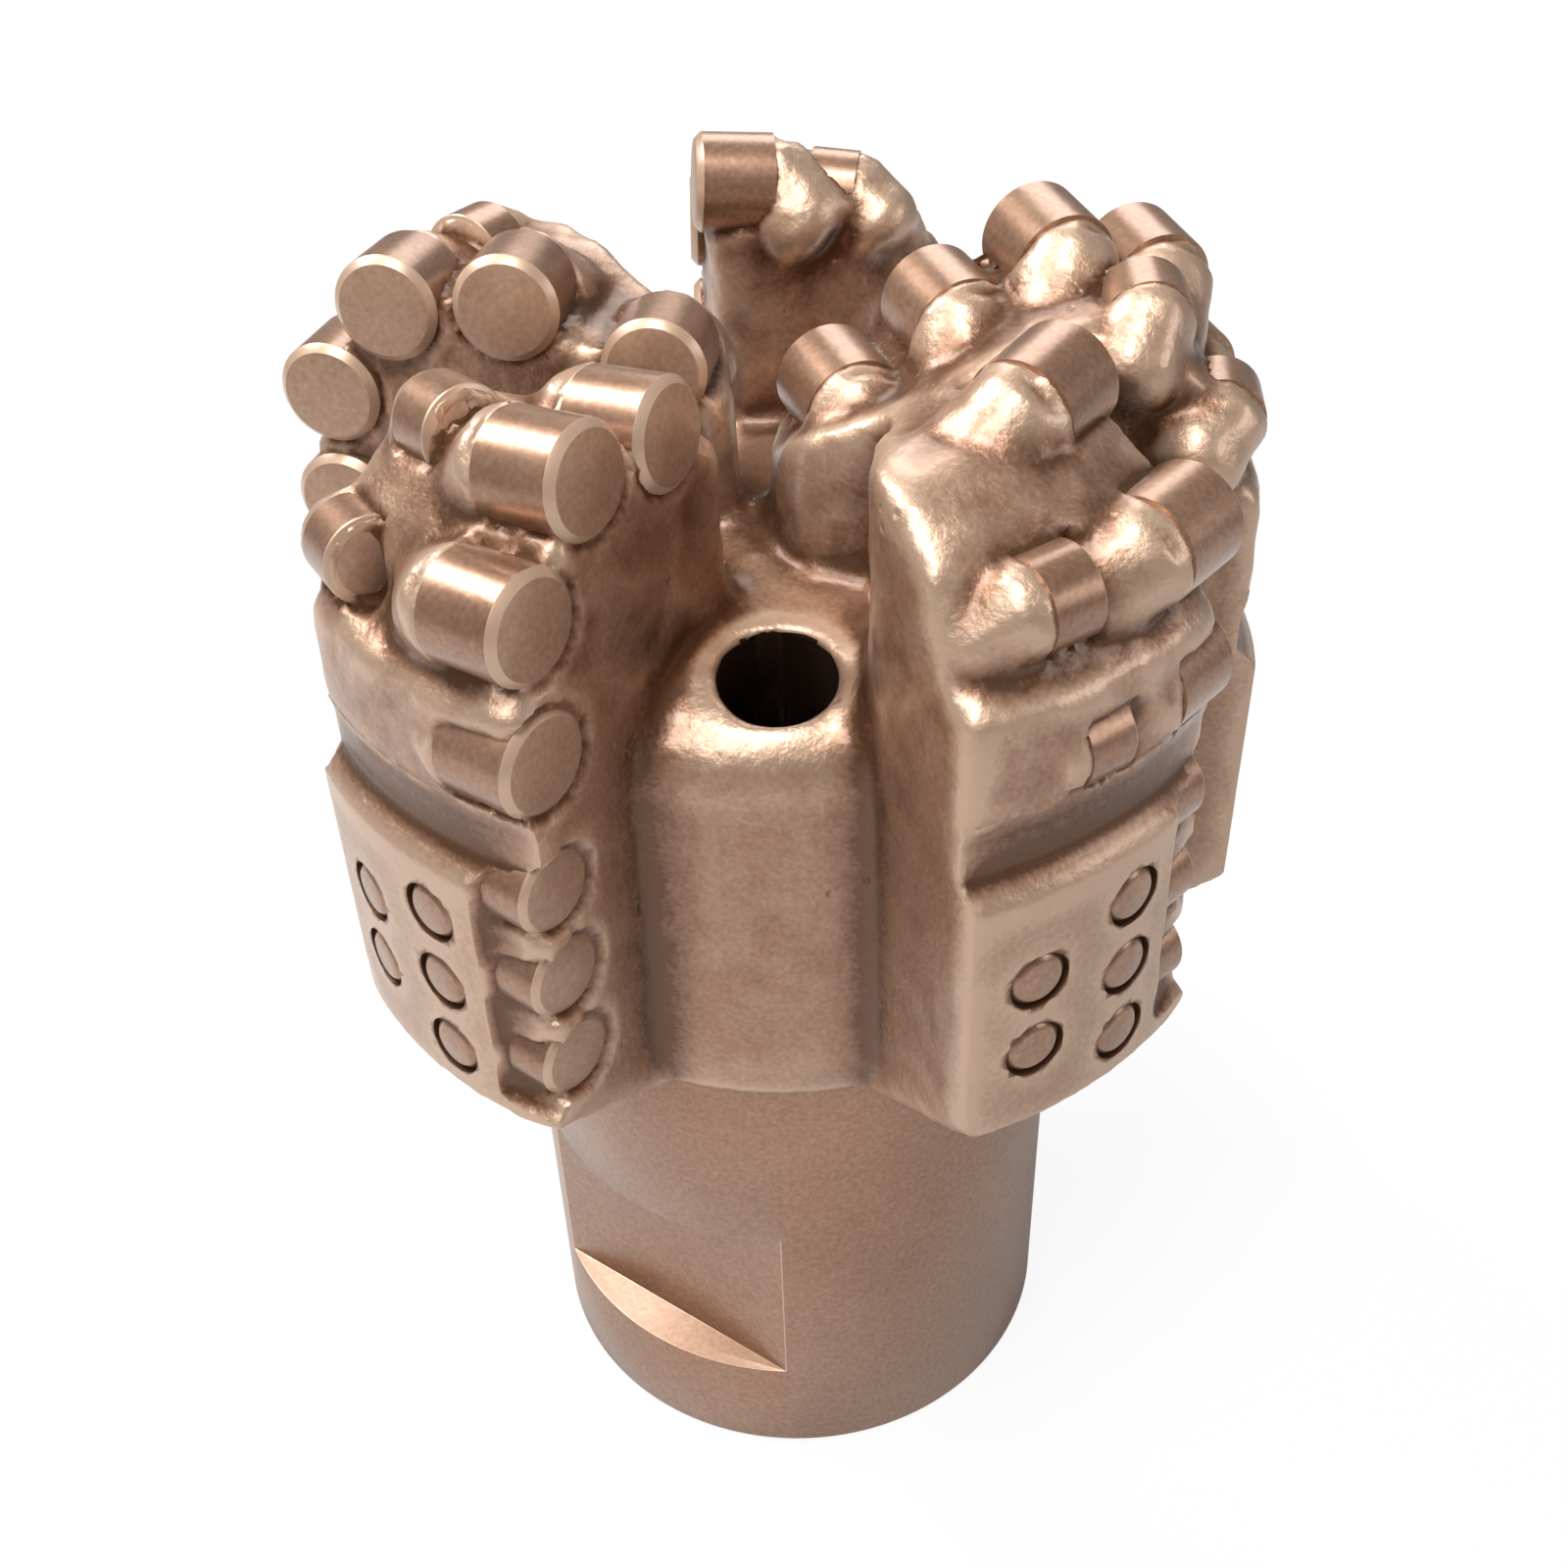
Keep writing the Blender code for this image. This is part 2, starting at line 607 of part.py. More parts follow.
def button_groove_profile():
    """Section of what is cut round a gauge button: its chamfer and its ring groove."""
    return (
        (BUTTON_HOLE_RADIUS, OVERRUN), (BUTTON_HOLE_RADIUS, -BUTTON_GROOVE_DEPTH),
        (BUTTON_RADIUS, -BUTTON_GROOVE_DEPTH), (BUTTON_RADIUS, -BUTTON_CHAMFER_DEPTH),
        (BUTTON_TOP_RADIUS, SEAT_GAP), (BUTTON_TOP_RADIUS, OVERRUN), (BUTTON_HOLE_RADIUS, OVERRUN),
    )


def cut_casting(casting, sections):
    """Cut one group of turned cutters out of the casting."""
    holder = bpy.data.collections.new("cutters_of_casting")
    bpy.context.scene.collection.children.link(holder)
    made = []
    for tools in sections:
        cutter = as_guide(new_object("crown_cutter", tools))
        bpy.context.collection.objects.unlink(cutter)
        holder.objects.link(cutter)
        made.append(cutter)
    cut = casting.modifiers.new("cuts", "BOOLEAN")
    cut.operation = "DIFFERENCE"
    cut.solver = "EXACT"
    cut.operand_type = "COLLECTION"
    cut.collection = holder
    apply_modifiers(casting)
    for cutter in made:
        bpy.data.objects.remove(cutter)
    bpy.data.collections.remove(holder)


def islands(tools):
    """The connected groups of points of a bmesh."""
    left = set(tools.verts)
    groups = []
    while left:
        group, front = [], [left.pop()]
        while front:
            vert = front.pop()
            group.append(vert)
            near = {edge.other_vert(vert) for edge in vert.link_edges} & left
            left -= near
            front.extend(near)
        groups.append(group)
    return groups


def drop_crumbs(casting):
    """Remove what the cuts leave behind: pairs of faces folded flat, and loose crumbs."""
    tools = bmesh.new()
    tools.from_mesh(casting.data)
    bmesh.ops.triangulate(tools, faces=tools.faces)
    same = {}
    for face in tools.faces:
        same.setdefault(frozenset(face.verts), []).append(face)
    folded = [face for faces in same.values() if len(faces) > 1 for face in faces]
    bmesh.ops.delete(tools, geom=folded, context="FACES")
    groups = sorted(islands(tools), key=len)
    crumbs = [vert for group in groups[:-1] for vert in group]
    bmesh.ops.delete(tools, geom=crumbs, context="VERTS")
    tools.to_mesh(casting.data)
    tools.free()


def build_crown(material):
    """The matrix crown: casting, bore, gauge strips, ports, cutter pockets and buttons."""
    crown = build_casting()
    cut_casting(crown, [revolved(grinding_profile(), HUB_SEGMENTS)])
    cut_casting(crown, [revolved(crown_bore_profile(), SHANK_SEGMENTS)])
    cut_casting(crown, [build_strip_cutter(blade) for blade in BLADE_NAMES])
    cut_casting(crown, [build_port_cutter(blade) for blade in PORT_PLACES])
    pockets = [
        turned_along(pocket_profile(radius, length, ahead), CUTTER_SEGMENTS, frame)
        for _, frame, radius, length, _, ahead in cutter_places()
    ]
    cut_casting(crown, pockets)
    grooves = [
        turned_along(button_groove_profile(), BUTTON_SEGMENTS, frame) for frame in button_places()
    ]
    cut_casting(crown, grooves)
    drop_crumbs(crown)
    crown.data.materials.clear()
    crown.data.materials.append(material)
    crown.data.shade_smooth()
    crown.data.set_sharp_from_angle(angle=radians(SHARP_EDGE_ANGLE))


def shank_profile():
    """Section of the shank: tapered socket, bore, spigot, seat and outside."""
    neck = SOCKET_DEPTH + BORE_CONE_DEPTH
    top = SHANK_HEIGHT + SPIGOT_HEIGHT
    return (
        (SOCKET_MOUTH_RADIUS, 0.0), (SHANK_RADIUS - SHANK_CHAMFER, 0.0),
        (SHANK_RADIUS, SHANK_CHAMFER), (SHANK_RADIUS, SHANK_HEIGHT - SHANK_CHAMFER),
        (SHANK_RADIUS - SHANK_CHAMFER, SHANK_HEIGHT), (SPIGOT_RADIUS, SHANK_HEIGHT),
        (SPIGOT_RADIUS, top), (BORE_RADIUS, top), (BORE_RADIUS, neck),
        (SOCKET_END_RADIUS, SOCKET_DEPTH),
        (SOCKET_END_RADIUS, SOCKET_DEPTH - SOCKET_RELIEF_DEPTH),
        (SOCKET_MOUTH_RADIUS, 0.0),
    )


def build_shank(material):
    """The steel shank with its two wrench flats."""
    shank = new_object("steel_shank", revolved(shank_profile(), SHANK_SEGMENTS), material)
    near, far = SHANK_RADIUS - WRENCH_FLAT_DEPTH, SHANK_RADIUS + OVERRUN
    top = WRENCH_FLAT_BOTTOM + WRENCH_FLAT_HEIGHT
    for side in (-1, 1):
        plan = [(x, side * y) for x, y in ((-far, near), (far, near), (far, far), (-far, far))]
        cutter = as_guide(new_object("flat_cutter", prism(plan, WRENCH_FLAT_BOTTOM, top)))
        boolean(shank, cutter, "DIFFERENCE")
        apply_modifiers(shank)
        bpy.data.objects.remove(cutter)
    shank.data.shade_smooth()
    shank.data.set_sharp_from_angle(angle=radians(SHARP_EDGE_ANGLE))


def main():
    """Clear the file, then build the shank, the crown and the cutters."""
    for old in list(bpy.data.objects):
        bpy.data.objects.remove(old)
    matrix = new_material("bronze_matrix", (0.46, 0.30, 0.20), 0.42, 0.85)
    steel = new_material("bronze_steel", (0.50, 0.33, 0.22), 0.35, 0.85)
    carbide = new_material("bronze_cutter", (0.52, 0.36, 0.25), 0.30, 0.85)
    build_shank(steel)
    build_crown(matrix)
    build_cutters(carbide)


main()
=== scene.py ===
"""Finishes the drill bit: cast crown, brazed cutters, gauge buttons and turned shank.

Every piece is laid over the fixed frame, in metres, with +Z up the bit's axis.
Run as a script it builds all of them; as an add-on each has its own operator in the
3D view's sidebar.
"""

import json
from math import cos, pi, radians, sin, tan

import bmesh
import bpy
import numpy as np
from bpy.props import FloatProperty, FloatVectorProperty, IntProperty, PointerProperty
from mathutils import Matrix, Vector, noise

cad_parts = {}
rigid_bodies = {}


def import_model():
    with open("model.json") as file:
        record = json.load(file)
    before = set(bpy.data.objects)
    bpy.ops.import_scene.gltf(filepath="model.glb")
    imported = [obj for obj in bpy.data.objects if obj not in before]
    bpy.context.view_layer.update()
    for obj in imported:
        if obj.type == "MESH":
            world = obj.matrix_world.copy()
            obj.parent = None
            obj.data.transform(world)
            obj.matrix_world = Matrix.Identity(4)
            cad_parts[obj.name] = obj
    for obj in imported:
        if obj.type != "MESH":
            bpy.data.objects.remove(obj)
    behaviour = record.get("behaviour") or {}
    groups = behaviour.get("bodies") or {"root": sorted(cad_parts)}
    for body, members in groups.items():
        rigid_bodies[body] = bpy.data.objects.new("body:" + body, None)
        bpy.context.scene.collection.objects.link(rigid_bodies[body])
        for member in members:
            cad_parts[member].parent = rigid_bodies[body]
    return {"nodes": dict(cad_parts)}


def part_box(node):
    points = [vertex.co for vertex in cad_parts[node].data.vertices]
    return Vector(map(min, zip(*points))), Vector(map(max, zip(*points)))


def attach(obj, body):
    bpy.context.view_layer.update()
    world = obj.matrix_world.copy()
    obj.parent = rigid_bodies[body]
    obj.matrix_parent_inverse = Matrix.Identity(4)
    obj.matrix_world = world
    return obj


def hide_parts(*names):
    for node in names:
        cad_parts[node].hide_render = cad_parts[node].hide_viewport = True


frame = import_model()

bl_info = {
    "name": "Drill bit finish",
    "version": (1, 0, 0),
    "blender": (4, 5, 0),
    "location": "View3D > Sidebar > Drill bit",
    "description": "Builds the visible surfaces of a fixed-cutter drill bit over its frame",
    "category": "Object",
}

MILLIMETRE = 0.001
MERGE_DISTANCE = MILLIMETRE / 100
BODY = "root"
CROWN_NODE = "matrix_crown"
SHANK_NODE = "steel_shank"
CUTTER_NODES = sorted(name for name in frame["nodes"] if "cutter" in name or "backup" in name)
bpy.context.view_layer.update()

# Gauge of the bit, and the pads and notches ground to it
GAUGE_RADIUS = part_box(CROWN_NODE)[1][0]
PAD_BOTTOM = 112 * MILLIMETRE
PAD_TOP = 156.5 * MILLIMETRE
PAD_REACH = 1.2 * MILLIMETRE
NOTCH_DEPTH = 3.4 * MILLIMETRE
NOTCH_HEIGHT = 13 * MILLIMETRE
NOTCH_LIP = 2.0 * MILLIMETRE
BLADE_ANGLES = {"a": -84.3, "b": -1.6, "c": 57.5, "d": 132.0, "e": 205.5}
OVERRUN = 15 * MILLIMETRE
RING_ROW = 1.6 * MILLIMETRE
RING_SEGMENTS = 300

# Tails behind the cutters slope from them towards a point deep in the blades
BLADE_CORE = Vector((0, 0, 130 * MILLIMETRE))
TAIL_SLOPE = radians(48.0)
FILL_SEGMENTS = 32
FIT = 0.1 * MILLIMETRE

# Braze and waves of the casting, and the reach of its painted shade and highlights
SINK_LIMIT = 1.5 * MILLIMETRE
BRAZE_PATCH = 6.0 * MILLIMETRE
BRAZE_FREE_EDGE = 1.0 * MILLIMETRE
WAVE_LENGTH = 9.0 * MILLIMETRE
PAINTED_LIGHT_DEPTH = 1.3 * MILLIMETRE
PAINTED_LIGHT_ROUNDS = 14
BRAZE_ROUNDS = 2
FEWEST_FACES = 20000

# Gauge buttons on every pad: degrees behind the blade, and heights in millimetres
BUTTON_ROWS = ((-12.0, (147.0, 133.5, 120.0)), (-25.0, (140.25, 126.75)))
BUTTON_RADIUS = 4.5 * MILLIMETRE
BUTTON_LENGTH = 1.7 * MILLIMETRE
HOLE_RADIUS = 4.95 * MILLIMETRE
HOLE_DEPTH = 1.6 * MILLIMETRE
GROOVE_FILL_RADIUS = 5.6 * MILLIMETRE
GROOVE_FILL_DEPTH = 3.0 * MILLIMETRE
BUTTON_SEGMENTS = 48

# Nozzle ports: degrees about the axis, then radius and height of the mouth in millimetres
PORTS = ((-54.6, 35.5, 172.0), (84.5, 36.0, 171.9), (152.5, 41.0, 170.8), (228.5, 35.0, 172.1))
PORT_TILT = 22.0
PORT_RADIUS = 8.9 * MILLIMETRE
PORT_LIP = 0.6 * MILLIMETRE
PORT_SEGMENTS = 72
# Painted shade in a port starts this far below its mouth
UNSHADED_MOUTH = 2.5 * MILLIMETRE
PORT_LENGTH = 40 * MILLIMETRE

# Foot of the hub, where it runs into the shank
SKIRT_TOP = 106 * MILLIMETRE
SKIRT_HEIGHT = 8 * MILLIMETRE
SKIRT_INSIDE = 4 * MILLIMETRE
SKIRT_OUTSIDE = 2.4 * MILLIMETRE

# Edges of a cutter
CUTTER_EDGE = 0.15 * MILLIMETRE

# Shank, with the spigot and bore in the hub and the threaded socket at the foot.
# A groove's points are millimetres down from its top and shares of the thread's depth.
UNDER_HUB = 101 * MILLIMETRE
SPIGOT_RADIUS = 34 * MILLIMETRE
BORE_RADIUS = 16 * MILLIMETRE
SOCKET_MOUTH_RADIUS = 37.5 * MILLIMETRE
SOCKET_END_RADIUS = 30 * MILLIMETRE
SOCKET_DEPTH = 76 * MILLIMETRE
SOCKET_RELIEF = 4 * MILLIMETRE
BORE_CONE = 8 * MILLIMETRE
FOOT_CHAMFER = 1.2 * MILLIMETRE
FOOT_CHAMFER_MIDDLE = 0.9 * MILLIMETRE
FOOT_CHAMFER_TOP = 1.4 * MILLIMETRE
THREAD_PITCH = 5.08 * MILLIMETRE
THREAD_DEPTH = 2.4 * MILLIMETRE
THREAD_BOTTOM = 8 * MILLIMETRE
THREAD_CLEAR_END = 9 * MILLIMETRE
THREAD_GROOVE = ((0, 0), (1.7, 1), (2.1, 1), (3.8, 0))
FLAT_DISTANCE = 41.2 * MILLIMETRE
FLAT_BOTTOM = 23 * MILLIMETRE
FLAT_TOP = 61 * MILLIMETRE

# Smooth shading keeps edges sharper than these angles, in degrees
CAST_EDGE_ANGLE = 50
BUTTON_EDGE_ANGLE = 30
TURNED_EDGE_ANGLE = 25

# Stage: lamps with the setting of their power, their side and place, and what they aim at
LAMPS = (
    ("key_lamp", "key_power", 0.40, (-0.62, 0.26, 0.95)),
    ("top_lamp", "top_power", 0.34, (-0.12, -0.34, 1.15)),
    ("side_lamp", "side_power", 0.4, (0.90, -0.25, 0.50)),
    ("front_lamp", "front_power", 0.4, (-0.32, -0.62, 0.88)),
    ("back_lamp", "back_power", 0.5, (0.10, 0.80, 0.80)),
)
LAMP_AIM = Vector((0, 0, 0.14))
FLOOR_NEAR = 0.3
FLOOR_FAR = 1.3


class BIT_PG_camera(bpy.types.PropertyGroup):
    """Where the bit is seen from."""

    turn: FloatProperty(
        name="Turn", description="Turn of the view about the bit's axis",
        default=radians(36.08), subtype="ANGLE",
    )
    distance: FloatProperty(
        name="Distance", description="Distance of the camera from the axis, over the floor",
        default=0.2561, unit="LENGTH",
    )
    height: FloatProperty(
        name="Height", description="Height of the camera over the floor",
        default=0.3233, unit="LENGTH",
    )
    pitch: FloatProperty(
        name="Pitch", description="How far the camera looks down",
        default=radians(37.85), subtype="ANGLE",
    )
    roll: FloatProperty(
        name="Roll", description="Lean of the camera about its line of sight",
        default=radians(-2.02), subtype="ANGLE",
    )
    lens: FloatProperty(
        name="Lens", description="Focal length in millimetres on a 36 mm sensor", default=42.77,
    )


class BIT_PG_stage(bpy.types.PropertyGroup):
    """Floor, world and lamps."""

    floor_size: FloatProperty(
        name="Floor", description="Side of the floor", default=6.0, unit="LENGTH",
    )
    floor_colour: FloatVectorProperty(
        name="Floor colour", description="Colour of the floor", subtype="COLOR",
        size=3, default=(0.62, 0.62, 0.62),
    )
    floor_white: FloatProperty(
        name="Floor white", description="Share of plain white the camera sees near the bit",
        default=0.84, subtype="FACTOR",
    )
    floor_glow: FloatProperty(
        name="Floor glow", description="Brightness of that plain white", default=1.06,
    )
    world_strength: FloatProperty(
        name="World", description="Strength of the even light from all around", default=0.20,
    )
    key_power: FloatProperty(
        name="Key", description="Power of the key lamp at the upper left", default=9.5,
        unit="POWER",
    )
    top_power: FloatProperty(
        name="Top", description="Power of the overhead lamp", default=6.5, unit="POWER",
    )
    side_power: FloatProperty(
        name="Side", description="Power of the side lamp", default=1.6, unit="POWER",
    )
    front_power: FloatProperty(
        name="Front", description="Power of the front lamp", default=4.2, unit="POWER",
    )
    back_power: FloatProperty(
        name="Back", description="Power of the back lamp", default=3.0, unit="POWER",
    )


class BIT_PG_paint(bpy.types.PropertyGroup):
    """The bronze paint that covers the whole bit."""

    colour: FloatVectorProperty(
        name="Colour", description="Main colour of the bronze paint", subtype="COLOR",
        size=3, default=(0.340, 0.190, 0.118),
    )
    # Painted highlight colour, laid on ridges, edges and flat faces
    painted_highlight_colour: FloatVectorProperty(
        name="Painted highlight colour", description="Colour of the painted highlights on ridges, edges and faces",
        subtype="COLOR", size=3, default=(0.560, 0.380, 0.265),
    )
    # Painted shade colour, laid in roots and crevices
    painted_shade_colour: FloatVectorProperty(
        name="Deep colour", description="Colour in roots and crevices", subtype="COLOR",
        size=3, default=(0.130, 0.056, 0.024),
    )
    metallic: FloatProperty(
        name="Metallic", description="Share of metal in the paint", default=0.66,
        subtype="FACTOR",
    )
    gloss: FloatProperty(
        name="Gloss", description="Share of clear lacquer over the paint", default=0.45,
        subtype="FACTOR",
    )
    speckle: FloatProperty(
        name="Speckle", description="How much the paint's flakes change its tone", default=0.34,
        subtype="FACTOR",
    )


class BIT_PG_crown(bpy.types.PropertyGroup):
    """The cast crown."""

    grain: FloatProperty(
        name="Grain", description="Size of the crown's finest facets",
        default=1.15 * MILLIMETRE, unit="LENGTH",
    )
    smoothing: IntProperty(
        name="Smoothing", description="Rounds of smoothing over the casting", default=6,
    )
    lip: FloatProperty(
        name="Braze lip", description="Height of the braze raised round each cutter",
        default=1.1 * MILLIMETRE, unit="LENGTH",
    )
    lip_reach: FloatProperty(
        name="Lip reach", description="How far the braze spreads from a cutter",
        default=4.0 * MILLIMETRE, unit="LENGTH",
    )
    unevenness: FloatProperty(
        name="Unevenness", description="Depth of the casting's slow waves",
        default=0.18 * MILLIMETRE, unit="LENGTH",
    )
    skin: FloatProperty(
        name="Skin", description="How far the casting's skin lies under a bare cutter",
        default=0.6 * MILLIMETRE, unit="LENGTH",
    )
    cover: FloatProperty(
        name="Cover", description="Length of each cutter that the casting covers at its rear",
        default=1.0 * MILLIMETRE, unit="LENGTH",
    )
    grinding: FloatProperty(
        name="Grinding", description="What the pads lose when they are ground to gauge",
        default=0.8 * MILLIMETRE, unit="LENGTH",
    )


class BIT_PG_cutters(bpy.types.PropertyGroup):
    """The brazed cutters."""

    segments: IntProperty(name="Segments", description="Facets round a cutter", default=72)
    chamfer: FloatProperty(
        name="Chamfer", description="Share of the radius taken by the face's chamfer",
        default=0.14, subtype="FACTOR",
    )
    dome: FloatProperty(
        name="Dome", description="How far a back-up cutter's face is domed",
        default=1.2 * MILLIMETRE, unit="LENGTH",
    )


class BIT_PG_shank(bpy.types.PropertyGroup):
    """The steel shank."""

    segments: IntProperty(name="Segments", description="Facets round the shank", default=160)
    edge: FloatProperty(
        name="Edge", description="Rounding of the shank's edges",
        default=0.5 * MILLIMETRE, unit="LENGTH",
    )


SETTINGS = {
    "bit_camera": BIT_PG_camera, "bit_stage": BIT_PG_stage, "bit_paint": BIT_PG_paint,
    "bit_crown": BIT_PG_crown, "bit_cutters": BIT_PG_cutters, "bit_shank": BIT_PG_shank,
}


def new_piece(name, solid, material, nodes=()):
    """Make a bmesh a finished piece that rides on the bit."""
    mesh = bpy.data.meshes.new(name)
    solid.to_mesh(mesh)
    solid.free()
    mesh.materials.append(material)
    piece = bpy.data.objects.new(name, mesh)
    bpy.context.scene.collection.objects.link(piece)
    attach(piece, BODY)
    if nodes:
        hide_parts(*nodes)
    return piece


def shade(piece, angle):
    """Smooth shading with edges sharper than an angle kept."""
    piece.data.shade_smooth()
    piece.data.set_sharp_from_angle(angle=radians(angle))


def turned(profile, segments):
    """A turned shape from (radius, height) points; ends on the axis are closed."""
    solid = bmesh.new()
    verts = [solid.verts.new((r, 0.0, z)) for r, z in profile]
    edges = [solid.edges.new(pair) for pair in zip(verts, verts[1:])]
    bmesh.ops.spin(
        solid, geom=verts + edges, cent=(0, 0, 0), axis=(0, 0, 1),
        angle=2 * pi, steps=segments, use_merge=True,
    )
    bmesh.ops.remove_doubles(solid, verts=solid.verts, dist=MERGE_DISTANCE)
    bmesh.ops.recalc_face_normals(solid, faces=solid.faces)
    return solid


def moved(solid, place):
    """Move a bmesh by a matrix."""
    bmesh.ops.transform(solid, matrix=place, verts=solid.verts)
    return solid


def join(target, source):
    """Add one bmesh to another and free it."""
    mesh = bpy.data.meshes.new("joined")
    source.to_mesh(mesh)
    source.free()
    target.from_mesh(mesh)
    bpy.data.meshes.remove(mesh)


def looking_along(origin, direction):
    """A frame at a point whose +Z is a direction."""
    turn = Vector(direction).to_track_quat("Z", "Y").to_matrix().to_4x4()
    return Matrix.Translation(Vector(origin)) @ turn


def about_axis(angle):
    """A turn about the bit's axis, in degrees."""
    return Matrix.Rotation(radians(angle), 4, "Z")


def apply_modifiers(made):
    """Replace an object's mesh by its evaluated one."""
    graph = bpy.context.evaluated_depsgraph_get()
    mesh = bpy.data.meshes.new_from_object(made.evaluated_get(graph))
    made.modifiers.clear()
    made.data = mesh


def cut(made, shapes):
    """Cut a list of bmeshes out of an object."""
    holder = bpy.data.collections.new("cutting_shapes")
    bpy.context.scene.collection.children.link(holder)
    for solid in shapes:
        mesh = bpy.data.meshes.new("cutting_shape")
        solid.to_mesh(mesh)
        solid.free()
        holder.objects.link(bpy.data.objects.new("cutting_shape", mesh))
    modifier = made.modifiers.new("cuts", "BOOLEAN")
    modifier.operation = "DIFFERENCE"
    modifier.solver = "EXACT"
    modifier.operand_type = "COLLECTION"
    modifier.collection = holder
    apply_modifiers(made)
    for shape in list(holder.objects):
        bpy.data.objects.remove(shape)
    bpy.data.collections.remove(holder)


def merged_copy(name):
    """A bmesh of a frame node with its loose triangles joined."""
    solid = bmesh.new()
    solid.from_mesh(frame["nodes"][name].data)
    bmesh.ops.remove_doubles(solid, verts=solid.verts, dist=MERGE_DISTANCE)
    return solid


def cutter_frame(name):
    """Frame of a cutter from its node: +Z out of its face, with its radius and length."""
    solid = merged_copy(name)
    areas = {}
    for face in solid.faces:
        key = tuple(round(value, 2) for value in face.normal)
        areas[key] = areas.get(key, 0.0) + face.calc_area()
    back = Vector(max(areas, key=areas.get)).normalized()
    points = [vert.co.copy() for vert in solid.verts]
    solid.free()
    heights = [-point.dot(back) for point in points]
    centre = sum(points, Vector()) / len(points)
    radius = max((point - centre).cross(back).length for point in points)
    length = max(heights) - min(heights)
    face_centre = centre - back * (max(heights) + centre.dot(back))
    return looking_along(face_centre, -back), radius, length


def add_node(tree, kind, **values):
    """Add a shader node and set its named inputs and settings."""
    made = tree.nodes.new(kind)
    for key, value in values.items():
        if key in made.inputs:
            made.inputs[key].default_value = value
        else:
            setattr(made, key, value)
    return made


def shader_group(name, inputs, outputs):
    """An empty shader node group with float or colour sockets."""
    group = bpy.data.node_groups.new(name, "ShaderNodeTree")
    for label, kind, default in inputs:
        socket = group.interface.new_socket(label, in_out="INPUT", socket_type=kind)
        socket.default_value = default
    for label, kind in outputs:
        group.interface.new_socket(label, in_out="OUTPUT", socket_type=kind)
    start = group.nodes.new("NodeGroupInput")
    end = group.nodes.new("NodeGroupOutput")
    return group, start, end


def cast_sand_group():
    """Height of a sand-cast skin: fine grains, soft lumps and scattered pits."""
    group, start, end = shader_group(
        "cast_sand",
        [("Grain", "NodeSocketFloat", 900.0), ("Lump", "NodeSocketFloat", 120.0),
         ("Pits", "NodeSocketFloat", 0.5)],
        [("Height", "NodeSocketFloat")],
    )
    link = group.links.new
    place = add_node(group, "ShaderNodeTexCoord")
    grains = add_node(group, "ShaderNodeTexNoise", Detail=3.0, Roughness=0.6)
    lumps = add_node(group, "ShaderNodeTexNoise", Detail=4.0, Roughness=0.5)
    spots = add_node(group, "ShaderNodeTexVoronoi", Scale=260.0, Randomness=1.0)
    pits = add_node(group, "ShaderNodeMapRange")
    pits.inputs["From Min"].default_value = 0.05
    pits.inputs["From Max"].default_value = 0.22
    sparse = add_node(group, "ShaderNodeTexNoise", Scale=60.0, Detail=1.0)
    gate = add_node(group, "ShaderNodeMapRange")
    gate.inputs["From Min"].default_value = 0.58
    gate.inputs["From Max"].default_value = 0.66
    for texture in (grains, lumps, spots, sparse):
        link(place.outputs["Object"], texture.inputs["Vector"])
    link(start.outputs["Grain"], grains.inputs["Scale"])
    link(start.outputs["Lump"], lumps.inputs["Scale"])
    link(spots.outputs["Distance"], pits.inputs["Value"])
    link(sparse.outputs["Fac"], gate.inputs["Value"])
    hole = add_node(group, "ShaderNodeMath", operation="SUBTRACT")
    hole.inputs[0].default_value = 1.0
    link(pits.outputs["Result"], hole.inputs[1])
    here = add_node(group, "ShaderNodeMath", operation="MULTIPLY")
    link(hole.outputs[0], here.inputs[0])
    link(gate.outputs["Result"], here.inputs[1])
    deep = add_node(group, "ShaderNodeMath", operation="MULTIPLY")
    link(here.outputs[0], deep.inputs[0])
    link(start.outputs["Pits"], deep.inputs[1])
    rough = add_node(group, "ShaderNodeMath", operation="MULTIPLY_ADD")
    rough.inputs[1].default_value = 0.35
    link(grains.outputs["Fac"], rough.inputs[0])
    link(lumps.outputs["Fac"], rough.inputs[2])
    total = add_node(group, "ShaderNodeMath", operation="SUBTRACT")
    link(rough.outputs[0], total.inputs[0])
    link(deep.outputs[0], total.inputs[1])
    link(total.outputs[0], end.inputs["Height"])
    return group


